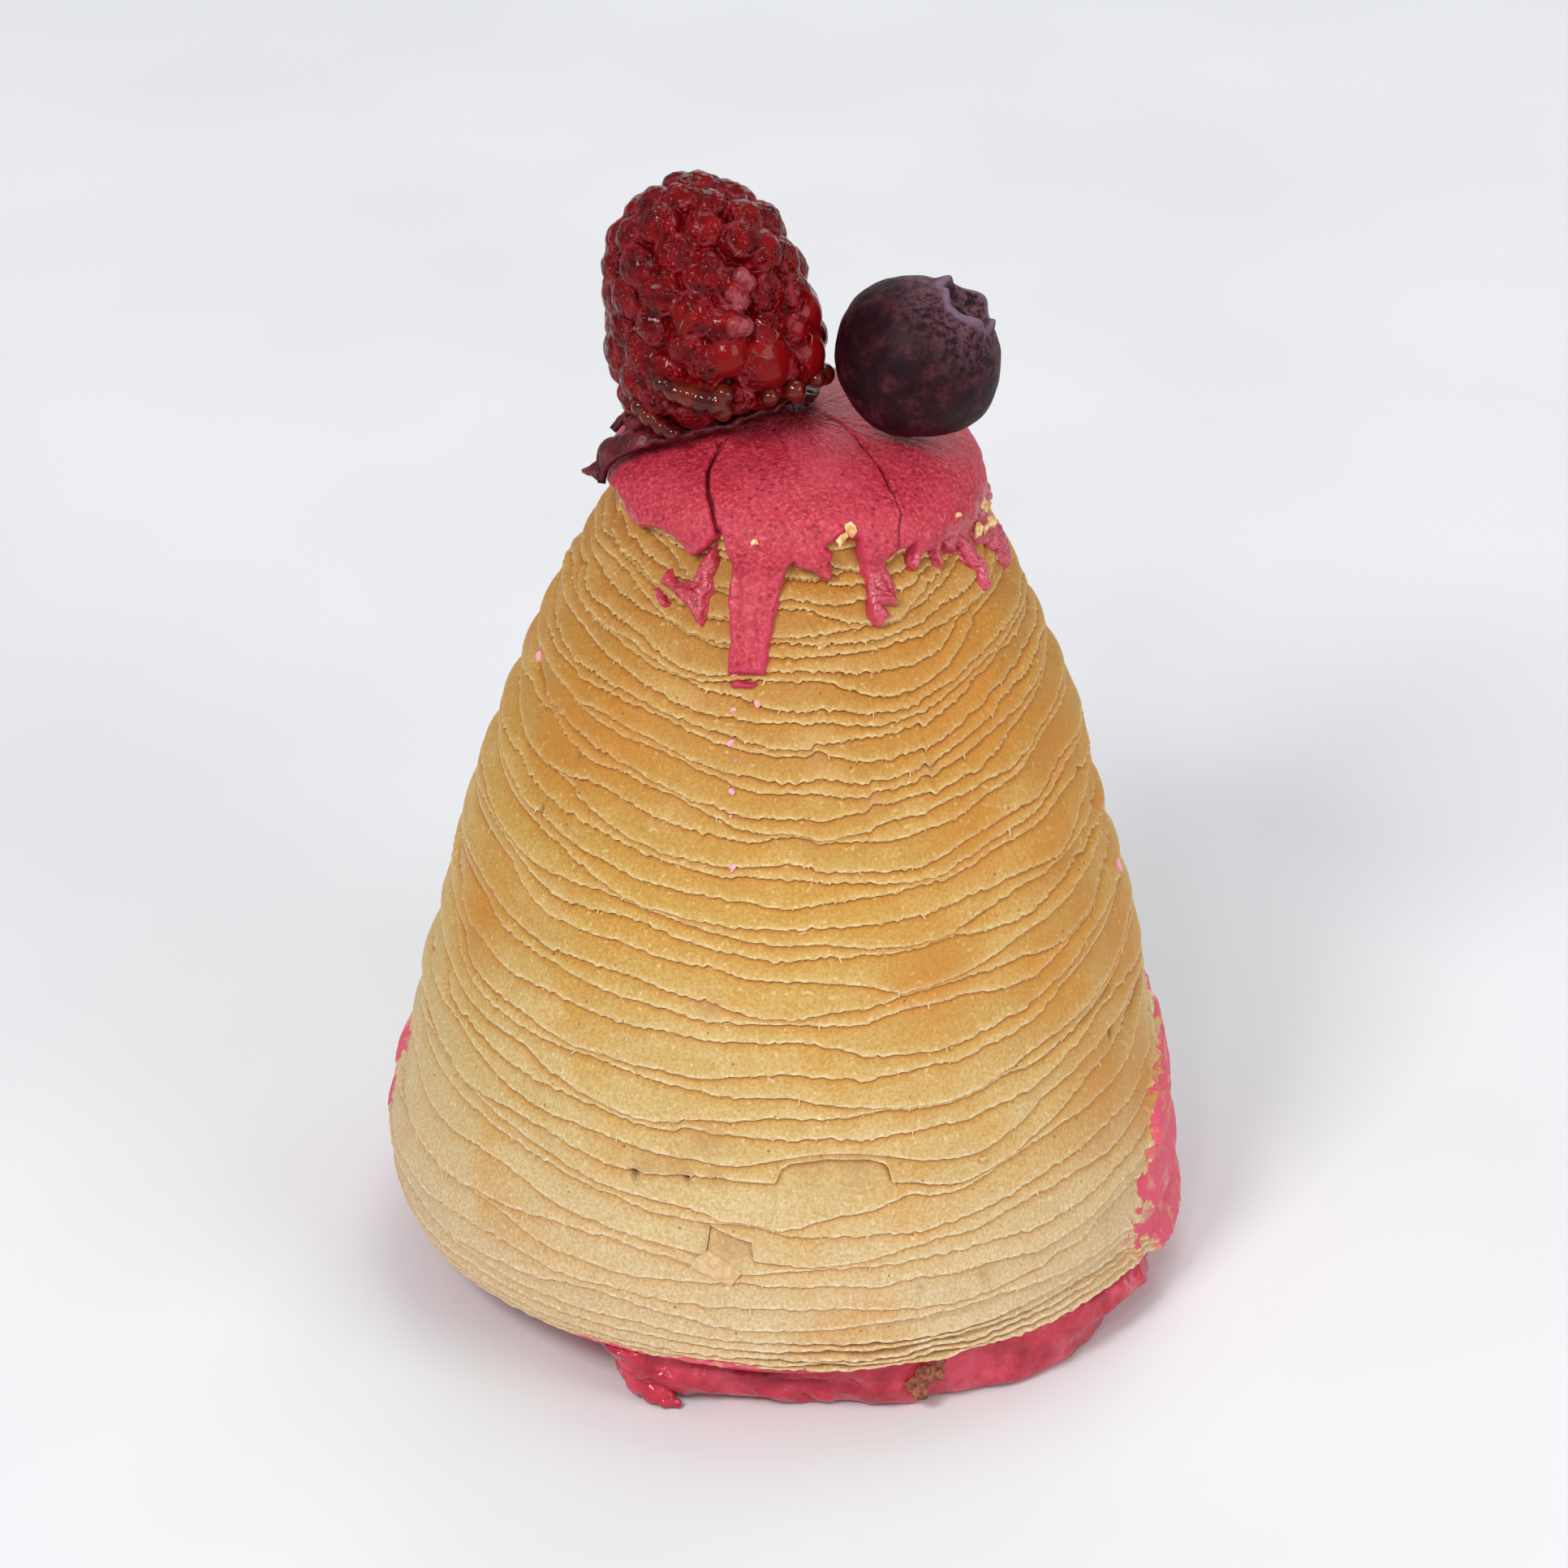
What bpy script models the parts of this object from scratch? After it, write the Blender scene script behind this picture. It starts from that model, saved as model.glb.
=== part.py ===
"""A bell-shaped flaky pastry with a pink icing cap, a raspberry, a blueberry and a dark slice of fruit.

Metres, +Z up. The origin is on the surface that the bell stands on, below the bell's axis.
The long icing drip hangs on the front, which faces -Y. An azimuth is measured from the front
towards +X, and the outlines below are in millimetres.
"""

import bpy
import bmesh
import numpy as np
from mathutils import Matrix
from mathutils import Vector

MM = 0.001
CLEARANCE = 0.3
MERGE = 0.00001

# The bell: height and radius of the envelope that the leaves' edges reach.
BELL_OUTLINE = (
    (6.5, 34.2), (13.0, 34.8), (24.0, 33.1), (40.0, 29.3), (56.0, 24.4), (65.0, 20.6), (73.0, 16.3), (76.0, 14.3),
)
RIM_HEIGHT = 6.5
LEFT_BULGE = 1.1
LEFT_BULGE_AZIMUTH = -85.0
LEFT_BULGE_SPREAD = 50.0
LEFT_BULGE_HEIGHT = 10.0
SHOULDER_HEIGHT = 76.0
PASTRY_TOP = 80.2
PASTRY_TOP_POWER = 2.2
PASTRY_TOP_SHARES = (0.35, 0.65, 0.87)
LEAF_COUNT = 53
LEAF_STEP = 0.9
LEAF_EDGE_SHARE = 0.14
LEAF_DEPTH_WAVE = 0.25
LEAF_HEIGHT_WAVE = 0.75
LEAF_WAVE_FADE = 4.0
LOWEST_LEAF = 7.1
RIM_LIP = 0.45
PASTRY_SEGMENTS = 28

# The foot: a coat of icing round the rounded underside, with its flat on the table.
FOOT_RADIUS = 29.4
FOOT_SHIFT = (4.8, 0.8)
FOOT_SHIFT_HEIGHT = 9.0
COAT_THICKNESS = 1.2
COAT_TUCK = 1.6
COAT_SEGMENTS = 36
COAT_OUTER_SHARE = 0.8
INNER_LOWEST_TURN = 40.0
INNER_CORNER_SHARE = 0.6
RIM_DROP = 1.5
RIM_DROP_AZIMUTH = 80.0
RIM_DROP_SPREAD = 34.0
RIM_DROP_REACH = 26.0
BLOB_AZIMUTH = -29.0
BLOB_SPREAD = 9.0
BLOB_DEPTH = 2.4

# The icing cap: a dome with a skirt of drips, each an azimuth, a half width and a tip height.
ICING_RADIUS = 16.3
ICING_TOP = 81.8
ICING_POWER = 2.6
ICING_THICKNESS = 0.8
ICING_STAND_OFF = 1.3
ICING_EDGE = 77.2
ICING_EDGE_WAVES = ((0.6, 3, 0.5), (0.4, 7, 0.0))
ICING_SIDE_LOWEST = 66.0
ICING_SHOULDER = 3.0
DRIP_POWER = 2.6
ICING_SEGMENTS = 80
ICING_ROWS = 7
ICING_ROW_POWER = 0.9
DRIPS = (
    (-56, 9, 75.4), (-33, 10, 71.0), (-10.5, 8, 67.8), (8, 6, 74.6), (25, 6, 71.4), (43, 6, 74.0), (62, 6, 70.6),
    (82, 8, 70.0), (112, 8, 72.2), (138, 7, 73.8), (166, 9, 69.8), (194, 7, 74.0), (222, 9, 71.0), (252, 8, 73.6),
)

# The raspberry stands on its open end, and its outline is distance up the axis and radius.
RASPBERRY_BASE = (-5.5, 1.2, 83.5)
RASPBERRY_TIP = (-10.4, 1.2, 104.0)
RASPBERRY_OUTLINE = (
    (0.0, 8.5), (3.0, 9.3), (7.0, 9.3), (11.0, 8.7), (14.5, 7.6), (17.5, 5.9), (19.8, 3.4), (20.9, 0.0),
)
DRUPELET_RADIUS = 1.9
DRUPELET_COUNT = 82
DRUPELET_SINK = 1.6
RASPBERRY_SEGMENTS = 14
RASPBERRY_LIFT = 0.1

# The blueberry lies on its side, with its calyx up and to the right.
BLUEBERRY_CENTRE = (10.2, -1.8, 88.5)
BLUEBERRY_RADIUS = 7.2
BLUEBERRY_FLATNESS = 0.94
CALYX_AXIS = (0.6, -0.06, 0.8)
CALYX_RADIUS = 2.7
CALYX_HEIGHT = 1.1
CALYX_PIT = 0.9
CALYX_LOBES = 5
BLUEBERRY_POLARS = (24, 40, 58, 76, 94, 112, 130, 150, 167)
BLUEBERRY_SEGMENTS = 20

# The slice of dark fruit lies on the dome, below the raspberry, with two points over the left edge.
SLICE_THICKNESS = 0.7
SLICE_LIFT = 0.4
SLICE_FRONT = ((-18.1, -3.2), (-13.8, -5.2), (-9.5, -5.2), (-4.4, -3.0), (1.5, 1.0))
SLICE_BACK = ((-15.6, 0.2), (-12.5, 3.6), (-7.5, 6.0), (-2.0, 6.0), (2.0, 4.0))
SLICE_NOTCH = 2.6
SLICE_OVERHANG_HEIGHT = 77.0
SLICE_OVERHANG_START = 15.5
SLICE_OVERHANG_FALL = 0.35
SLICE_WAVE = 0.3
SLICE_WAVE_START = 11.0
SLICE_WAVE_REACH = 5.0
SLICE_ALONG = 15
SLICE_ACROSS = 6


def smooth_curve(x, knots):
    """Return the smooth curve through the knots at x, level past its ends."""
    xs, ys = np.array(knots, dtype=float).T
    slopes = np.gradient(ys, xs)
    i = np.clip(np.searchsorted(xs, x) - 1, 0, len(xs) - 2)
    width = xs[i + 1] - xs[i]
    t = np.clip((x - xs[i]) / width, 0.0, 1.0)
    start = (1 + 2 * t) * (1 - t) ** 2 * ys[i] + t * (1 - t) ** 2 * width * slopes[i]
    end = t * t * (3 - 2 * t) * ys[i + 1] + t * t * (t - 1) * width * slopes[i + 1]
    return start + end


def bell_radius(height):
    return smooth_curve(height, BELL_OUTLINE)


def dome(fraction, power):
    """Return the height of a dome of height 1 at a fraction of its radius."""
    return np.maximum(1 - np.clip(fraction, 0, 1) ** power, 0) ** (1 / power)


def bump(azimuth, centre, spread):
    """Return a smooth rise to 1 at the centre azimuth, in degrees."""
    away = (azimuth - centre + 180) % 360 - 180
    return np.exp(-(away / spread) ** 2)


def leaf_wave(azimuth, height, seed):
    """Return a wave from -1 to 1 that drifts round the bell and changes every few leaves."""
    rng = np.random.default_rng(seed)
    turn = np.radians(azimuth)
    total = 0.0
    for turns in (1, 2, 3, 4, 5):
        rise = rng.uniform(-0.9, 0.9)
        phase = rng.uniform(0, 2 * np.pi)
        total = total + np.cos(turns * turn + rise * height + phase)
    return total / 5


def rim_drop(azimuth):
    return RIM_DROP * bump(azimuth, RIM_DROP_AZIMUTH, RIM_DROP_SPREAD)


def settle(azimuth, radius, height):
    """Return x, y and z of a turned point once the bell has settled: its rim low on the right
    and its foot off to one side."""
    floor = COAT_THICKNESS + CLEARANCE
    low = np.clip((height - floor) / (RIM_HEIGHT - floor), 0, 1)
    high = np.clip((RIM_DROP_REACH - height) / (RIM_DROP_REACH - RIM_HEIGHT), 0, 1) ** 2
    height = height - rim_drop(azimuth) * np.where(height < RIM_HEIGHT, low, high)
    slide = np.clip(1 - height / FOOT_SHIFT_HEIGHT, 0, 1) ** 1.5
    level = np.exp(-((height - LEFT_BULGE_HEIGHT) / LEFT_BULGE_HEIGHT) ** 2)
    radius = radius + LEFT_BULGE * level * bump(azimuth, LEFT_BULGE_AZIMUTH, LEFT_BULGE_SPREAD) * (radius > 1)
    turn = np.radians(azimuth)
    x = radius * np.sin(turn) + FOOT_SHIFT[0] * slide
    y = -radius * np.cos(turn) + FOOT_SHIFT[1] * slide
    return x, y, height


def foot_outline(inset, lowest_turn, stations):
    """Return radius and height of the rounded underside, moved inwards, from the rim down.

    The turn runs from 90 degrees at the rim to 0 at the table.
    """
    turn = np.radians(np.linspace(90, lowest_turn, stations))
    bulge = bell_radius(RIM_HEIGHT) - COAT_TUCK - FOOT_RADIUS
    across = RIM_HEIGHT * np.sin(turn)
    along = bulge * np.cos(turn)
    length = np.hypot(across, along)
    radius = FOOT_RADIUS + bulge * np.sin(turn) - inset * across / length
    height = RIM_HEIGHT * (1 - np.cos(turn)) + inset * along / length
    return list(zip(radius, height))


def inner_foot_outline(inset):
    """Return the underside moved inwards, on to the axis: a wall, a rounded corner and a floor."""
    corner = (FOOT_RADIUS - INNER_CORNER_SHARE * inset, inset)
    return foot_outline(inset, INNER_LOWEST_TURN, 4) + [corner, (0.0, inset)]


def new_object(name, mesh, collection):
    obj = bpy.data.objects.new(name, mesh)
    collection.objects.link(obj)
    return obj


def apply_modifiers(obj):
    """Replace the object's mesh by its evaluated mesh and drop its modifiers."""
    depsgraph = bpy.context.evaluated_depsgraph_get()
    mesh = bpy.data.meshes.new_from_object(obj.evaluated_get(depsgraph))
    obj.modifiers.clear()
    obj.data = mesh


def turn_profile(name, profile, segments, collection):
    """Turn a list of radius and height, from the top down, about the Z axis."""
    mesh = bpy.data.meshes.new(name)
    points = [(radius * MM, 0.0, height * MM) for radius, height in profile]
    edges = [(i, i + 1) for i in range(len(points) - 1)]
    mesh.from_pydata(points, edges, [])
    obj = new_object(name, mesh, collection)
    screw = obj.modifiers.new("turn", "SCREW")
    screw.steps = segments
    screw.render_steps = segments
    screw.use_merge_vertices = True
    screw.merge_threshold = MERGE
    apply_modifiers(obj)
    return obj


def read_turned(obj):
    """Return the azimuth in degrees, the radius and the height of each vertex in millimetres."""
    points = np.array([v.co for v in obj.data.vertices]) / MM
    azimuth = np.degrees(np.arctan2(points[:, 0], -points[:, 1]))
    return azimuth, np.hypot(points[:, 0], points[:, 1]), points[:, 2]


def write_points(obj, x, y, z):
    points = np.column_stack((x, y, z)) * MM
    obj.data.vertices.foreach_set("co", points.astype(np.float32).ravel())
    obj.data.update()


def grid_mesh(name, points, closed):
    """Make a sheet from an array of points in rows; closed joins each row's end to its start."""
    rows, columns = points.shape[:2]
    mesh = bpy.data.meshes.new(name)
    faces = []
    for i in range(rows - 1):
        for j in range(columns if closed else columns - 1):
            k = (j + 1) % columns
            faces.append((i * columns + j, (i + 1) * columns + j, (i + 1) * columns + k, i * columns + k))
    mesh.from_pydata([tuple(p) for p in points.reshape(-1, 3) * MM], [], faces)
    return mesh


def thicken(obj, thickness, side):
    """Give an open sheet a thickness, outwards where side is 1 and inwards where it is -1."""
    solid = obj.modifiers.new("thickness", "SOLIDIFY")
    solid.thickness = thickness * MM
    solid.offset = side


def colour(obj, rgb, roughness):
    material = bpy.data.materials.new(obj.name)
    material.use_nodes = True
    shader = material.node_tree.nodes["Principled BSDF"]
    shader.inputs["Base Color"].default_value = (*rgb, 1.0)
    shader.inputs["Roughness"].default_value = roughness
    obj.data.materials.clear()
    obj.data.materials.append(material)
    obj.data.shade_smooth()


def make_pastry(collection):
    """Make the bell: stacked leaves whose free lower edges stand out over the next leaf."""
    profile = [(0.0, PASTRY_TOP)]
    shoulder = bell_radius(SHOULDER_HEIGHT)
    rise = PASTRY_TOP - SHOULDER_HEIGHT
    for share in PASTRY_TOP_SHARES:
        profile.append((shoulder * share, SHOULDER_HEIGHT + rise * dome(share, PASTRY_TOP_POWER)))
    edges = np.linspace(SHOULDER_HEIGHT, LOWEST_LEAF, LEAF_COUNT)
    pitch = edges[0] - edges[1]
    for height in edges:
        profile.append((bell_radius(height), height))
        if height > LOWEST_LEAF + MERGE:
            profile.append((bell_radius(height) - LEAF_STEP, height - LEAF_EDGE_SHARE * pitch))
    underside = inner_foot_outline(COAT_THICKNESS + CLEARANCE)
    profile.append((underside[0][0], RIM_HEIGHT + RIM_LIP))
    profile += underside[1:]
    obj = turn_profile("pastry", profile, PASTRY_SEGMENTS, collection)
    azimuth, radius, height = read_turned(obj)
    below = np.clip((height - LOWEST_LEAF) / LEAF_WAVE_FADE, 0, 1)
    above = np.clip((SHOULDER_HEIGHT - 2 - height) / LEAF_WAVE_FADE, 0, 1)
    radius = radius - LEAF_DEPTH_WAVE * below * above * (1 + leaf_wave(azimuth, 1.6 * height, 11))
    height = height + LEAF_HEIGHT_WAVE * below * above * leaf_wave(azimuth, height, 7)
    write_points(obj, *settle(azimuth, radius, height))
    colour(obj, (0.62, 0.35, 0.11), 0.65)


def make_coat(collection):
    """Make the icing coat below the bell, a cup that is flat on the table, with a blob at the front left."""
    profile = inner_foot_outline(COAT_THICKNESS)[::-1] + foot_outline(0.0, 0, 7)
    profile.append((FOOT_RADIUS / 2, 0.0))
    profile.append((0.0, 0.0))
    obj = turn_profile("base_coating", profile, COAT_SEGMENTS, collection)
    azimuth, radius, height = read_turned(obj)
    inner_edge = COAT_OUTER_SHARE * FOOT_RADIUS
    outer = np.clip((radius - inner_edge) / (FOOT_RADIUS - inner_edge), 0, 1)
    radius = radius + outer * BLOB_DEPTH * bump(azimuth, BLOB_AZIMUTH, BLOB_SPREAD)
    write_points(obj, *settle(azimuth, radius, height))
    colour(obj, (0.50, 0.05, 0.08), 0.35)


def icing_edge(azimuth):
    """Return the height of the icing's lower edge: a wavy skirt with square-ended drips."""
    turn = np.radians(azimuth)
    edge = ICING_EDGE
    for height, waves, phase in ICING_EDGE_WAVES:
        edge = edge + height * np.sin(waves * turn + phase)
    for centre, half_width, tip in DRIPS:
        away = (azimuth - centre + 180) % 360 - 180
        edge = edge + (tip - edge) * np.exp(-np.abs(away / half_width) ** DRIP_POWER)
    return edge


def icing_surface(distance, path):
    """Return radius and height at a distance down the icing's outer surface from its top."""
    return np.interp(distance, path[0], path[1]), np.interp(distance, path[0], path[2])


def icing_path():
    """Return distance, radius and height down the icing's outer surface, over the dome and down its side."""
    fraction = np.sin(np.linspace(0, np.pi / 2, 60))
    radius = ICING_RADIUS * fraction
    height = SHOULDER_HEIGHT + (ICING_TOP - SHOULDER_HEIGHT) * dome(fraction, ICING_POWER)
    side = np.linspace(SHOULDER_HEIGHT - 0.2, ICING_SIDE_LOWEST, 40)
    blend = np.clip((SHOULDER_HEIGHT - side) / ICING_SHOULDER, 0, 1)
    side_radius = ICING_RADIUS * (1 - blend) + (bell_radius(side) + ICING_STAND_OFF) * blend
    radius = np.append(radius, side_radius)
    height = np.append(height, side)
    distance = np.append(0.0, np.cumsum(np.hypot(np.diff(radius), np.diff(height))))
    return distance, radius, height


def make_icing(collection):
    """Make the icing cap: a sheet over the top of the bell down to its drips, with a thickness."""
    path = icing_path()
    azimuth = np.arange(ICING_SEGMENTS) * 360 / ICING_SEGMENTS
    reach = np.interp(-icing_edge(azimuth), -path[2], path[0])
    turn = np.radians(azimuth)
    rows = []
    for i in range(1, ICING_ROWS + 1):
        radius, height = icing_surface(reach * (i / ICING_ROWS) ** ICING_ROW_POWER, path)
        rows.append(np.column_stack((radius * np.sin(turn), -radius * np.cos(turn), height)))
    mesh = grid_mesh("icing_cap", np.array(rows), closed=True)
    sheet = bmesh.new()
    sheet.from_mesh(mesh)
    pole = sheet.verts.new((0, 0, ICING_TOP * MM))
    sheet.verts.ensure_lookup_table()
    for j in range(ICING_SEGMENTS):
        sheet.faces.new((pole, sheet.verts[j], sheet.verts[(j + 1) % ICING_SEGMENTS]))
    sheet.to_mesh(mesh)
    sheet.free()
    obj = new_object("icing_cap", mesh, collection)
    thicken(obj, ICING_THICKNESS, -1)
    colour(obj, (0.52, 0.06, 0.09), 0.4)


def raspberry_frame():
    """Return the matrix that stands the raspberry's own axes on the dome, in metres."""
    base = Vector(RASPBERRY_BASE)
    axis = Vector(RASPBERRY_TIP) - base
    return Matrix.Translation(base * MM) @ axis.to_track_quat("Z", "Y").to_matrix().to_4x4()


def drupelet_places():
    """Return places in the raspberry's own axes, spread evenly over its side by the golden angle."""
    along = np.linspace(0, RASPBERRY_OUTLINE[-1][0], 200)
    radius = np.interp(along, *np.array(RASPBERRY_OUTLINE).T)
    area = np.append(0, np.cumsum(np.hypot(np.diff(along), np.diff(radius)) * radius[1:]))
    golden = np.pi * (3 - np.sqrt(5))
    places = []
    for i in range(DRUPELET_COUNT):
        height = np.interp((i + 0.5) / DRUPELET_COUNT * area[-1], area, along)
        slope = np.interp(height + 0.2, along, radius) - np.interp(height - 0.2, along, radius)
        normal = Vector((0.4, -slope)).normalized()
        out = np.interp(height, along, radius) - DRUPELET_SINK * normal[0]
        places.append(Vector((out * np.cos(i * golden), out * np.sin(i * golden), height - DRUPELET_SINK * normal[1])))
    return places


def make_raspberry(collection, cutters):
    """Make the raspberry: drupelets fused round a core, clear of the blueberry."""
    frame = raspberry_frame()
    profile = [(max(radius - DRUPELET_SINK, 0), height) for height, radius in RASPBERRY_OUTLINE[::-1]]
    profile[0] = (0.0, profile[0][1] - DRUPELET_SINK)
    profile.append((0.0, 0.0))
    core = turn_profile("raspberry", profile, RASPBERRY_SEGMENTS, collection)
    core.data.transform(frame)
    floor = (RASPBERRY_BASE[2] + RASPBERRY_LIFT) * MM
    for vertex in core.data.vertices:
        vertex.co.z = max(vertex.co.z, floor)
    reach = (BLUEBERRY_RADIUS + DRUPELET_RADIUS + CLEARANCE) * MM
    for i, place in enumerate(drupelet_places()):
        centre = frame @ (place * MM)
        if centre.z - DRUPELET_RADIUS * MM < floor or (centre - Vector(BLUEBERRY_CENTRE) * MM).length < reach:
            continue
        bpy.ops.mesh.primitive_ico_sphere_add(subdivisions=1, radius=DRUPELET_RADIUS * MM, location=centre)
        drupelet = bpy.context.object
        drupelet.rotation_euler = (i * 0.7, i * 1.3, i * 2.1)
        for owner in drupelet.users_collection:
            owner.objects.unlink(drupelet)
        cutters.objects.link(drupelet)
        drupelet.hide_render = True
        drupelet.display_type = "WIRE"
    union = core.modifiers.new("fuse", "BOOLEAN")
    union.operation = "UNION"
    union.operand_type = "COLLECTION"
    union.collection = cutters
    union.solver = "MANIFOLD"
    apply_modifiers(core)
    for drupelet in list(cutters.objects):
        bpy.data.objects.remove(drupelet)
    colour(core, (0.16, 0.008, 0.012), 0.25)


def make_blueberry(collection):
    """Make the blueberry: a flattened ball with a lobed calyx round a shallow pit."""
    pit_floor = BLUEBERRY_RADIUS - CALYX_PIT
    crown = BLUEBERRY_RADIUS + CALYX_HEIGHT
    profile = [(0.0, pit_floor), (CALYX_RADIUS * 0.7, pit_floor + 0.2)]
    profile += [(CALYX_RADIUS * 0.95, crown), (CALYX_RADIUS * 1.2, crown - 0.1)]
    for polar in np.radians(BLUEBERRY_POLARS):
        profile.append((BLUEBERRY_RADIUS * np.sin(polar), BLUEBERRY_RADIUS * np.cos(polar)))
    profile.append((0.0, -BLUEBERRY_RADIUS))
    obj = turn_profile("blueberry", profile, BLUEBERRY_SEGMENTS, collection)
    azimuth, radius, height = read_turned(obj)
    lobes = 0.5 + 0.5 * np.cos(CALYX_LOBES * np.radians(azimuth))
    height = np.where(height > BLUEBERRY_RADIUS, BLUEBERRY_RADIUS + (height - BLUEBERRY_RADIUS) * lobes, height)
    turn = np.radians(azimuth)
    write_points(obj, radius * np.sin(turn), -radius * np.cos(turn), height * BLUEBERRY_FLATNESS)
    stand = Vector(CALYX_AXIS).to_track_quat("Z", "Y").to_matrix().to_4x4()
    obj.data.transform(Matrix.Translation(Vector(BLUEBERRY_CENTRE) * MM) @ stand)
    colour(obj, (0.035, 0.011, 0.016), 0.5)


def slice_height(x, y):
    """Return the height of the slice's lower face: on the icing, then straight out past its shoulder."""
    away = np.hypot(x, y)
    on_icing = SHOULDER_HEIGHT + (ICING_TOP - SHOULDER_HEIGHT) * dome(away / (ICING_RADIUS + 0.5), ICING_POWER)
    hanging = SLICE_OVERHANG_HEIGHT - SLICE_OVERHANG_FALL * (away - SLICE_OVERHANG_START)
    return np.maximum(on_icing, hanging) + SLICE_LIFT


def make_slice(collection):
    """Make the thin, wavy slice of dark fruit."""
    along = np.linspace(0, 1, SLICE_ALONG)
    stations = np.linspace(0, 1, len(SLICE_FRONT))
    front = [smooth_curve(along, tuple(zip(stations, axis))) for axis in zip(*SLICE_FRONT)]
    back = [smooth_curve(along, tuple(zip(stations, axis))) for axis in zip(*SLICE_BACK)]
    rows = []
    for across in np.linspace(0, 1, SLICE_ACROSS):
        notch = SLICE_NOTCH * np.sin(np.pi * across) * (1 - along) ** 4
        x = front[0] * (1 - across) + back[0] * across + notch
        y = front[1] * (1 - across) + back[1] * across
        outer = np.clip((np.hypot(x, y) - SLICE_WAVE_START) / SLICE_WAVE_REACH, 0, 1)
        wave = SLICE_WAVE * outer * (1 + np.sin(9 * across + 11 * along + 2.6))
        rows.append(np.column_stack((x, y, slice_height(x, y) + wave)))
    mesh = grid_mesh("fruit_slice", np.array(rows), closed=False)
    sheet = bmesh.new()
    sheet.from_mesh(mesh)
    bmesh.ops.triangulate(sheet, faces=sheet.faces)
    bmesh.ops.recalc_face_normals(sheet, faces=sheet.faces)
    if sum(face.normal.z for face in sheet.faces) < 0:
        bmesh.ops.reverse_faces(sheet, faces=sheet.faces)
    sheet.to_mesh(mesh)
    sheet.free()
    obj = new_object("fruit_slice", mesh, collection)
    thicken(obj, SLICE_THICKNESS, 1)
    colour(obj, (0.13, 0.012, 0.018), 0.3)


def main():
    for obj in list(bpy.data.objects):
        bpy.data.objects.remove(obj)
    parts = bpy.data.collections.new("filled_pastry")
    cutters = bpy.data.collections.new("cutters")
    bpy.context.scene.collection.children.link(parts)
    bpy.context.scene.collection.children.link(cutters)
    make_pastry(parts)
    make_coat(parts)
    make_icing(parts)
    make_slice(parts)
    make_raspberry(parts, cutters)
    make_blueberry(parts)


main()
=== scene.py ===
"""The looks of a bell-shaped flaky pastry under pink icing, with a raspberry, a blueberry and dark fruit.

Named sizes are in millimetres and become metres when a mesh is made. +Z is up, and the front faces -Y.
An azimuth is in degrees, measured from the front towards +X.
"""

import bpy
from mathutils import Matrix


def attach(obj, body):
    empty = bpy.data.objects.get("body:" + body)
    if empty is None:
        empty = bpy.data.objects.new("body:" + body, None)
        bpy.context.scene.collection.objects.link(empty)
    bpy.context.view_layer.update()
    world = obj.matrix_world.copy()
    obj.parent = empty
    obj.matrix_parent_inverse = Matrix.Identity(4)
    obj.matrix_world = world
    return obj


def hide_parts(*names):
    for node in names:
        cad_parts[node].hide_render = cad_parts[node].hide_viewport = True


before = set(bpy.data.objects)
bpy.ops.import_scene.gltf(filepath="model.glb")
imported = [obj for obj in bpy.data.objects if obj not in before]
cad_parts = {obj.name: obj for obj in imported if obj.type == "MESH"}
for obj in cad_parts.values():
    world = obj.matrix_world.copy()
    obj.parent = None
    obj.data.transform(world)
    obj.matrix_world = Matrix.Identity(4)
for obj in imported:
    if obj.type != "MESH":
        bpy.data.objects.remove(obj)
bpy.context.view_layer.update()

import math

import bmesh
import bpy
import numpy as np
from mathutils import Matrix
from mathutils import Vector

MM = 0.001

# The bell, as in the model: height and radius of the envelope that the leaves' edges reach.
BELL_OUTLINE = (
    (6.5, 34.2), (13.0, 34.8), (24.0, 33.1), (40.0, 29.3), (56.0, 24.4), (65.0, 20.6), (73.0, 16.3),
    (76.0, 14.3),
)
RIM_HEIGHT = 6.5
LEFT_BULGE = 1.1
LEFT_BULGE_AZIMUTH = -85.0
LEFT_BULGE_SPREAD = 50.0
LEFT_BULGE_HEIGHT = 10.0
SHOULDER_HEIGHT = 76.0
FOOT_RADIUS = 29.4
FOOT_SHIFT = (4.8, 0.8)
FOOT_SHIFT_HEIGHT = 9.0
FOOT_FLOOR = 1.5
COAT_TUCK = 1.6
BLOB_AZIMUTH = -29.0
BLOB_SPREAD = 9.0
BLOB_DEPTH = 2.4
RIM_DROP = 1.5
RIM_DROP_AZIMUTH = 80.0
RIM_DROP_SPREAD = 34.0
RIM_DROP_REACH = 26.0

# The leaves: the distance from one edge to the next by height, and the places where they are torn.
LEAF_TOP = 78.9
LEAF_LOWEST = 6.9
LEAF_SPACING = (
    (6.5, 0.5), (9.0, 0.75), (14.0, 1.9), (30.0, 1.95), (45.0, 1.8), (57.0, 1.45), (68.0, 1.1),
    (79.0, 0.95),
)
LEAF_CLIMB = 3.4
LEAF_EDGE = 0.13
LEAF_LEAST = 0.14
LEAF_ROWS = (0.0, 0.12, 0.42)
FRONT_STEP = 0.45
BACK_STEP = 0.9
FRONT_REACH = 96.0
WALL_DRAWN_IN = 0.35
WAIST_HEIGHT = 21.0
WAIST_SPREAD = 8.0
WAIST_DEPTH = 0.45
BAND_HEIGHT = 4.6
DENT_DEPTH = 0.9
# Rows inside the rim and under the bell: how far in from the rim, and the height.
UNDERSIDE_ROWS = ((1.4, 6.6), (3.4, 4.4), (7.5, 2.2))
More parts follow.
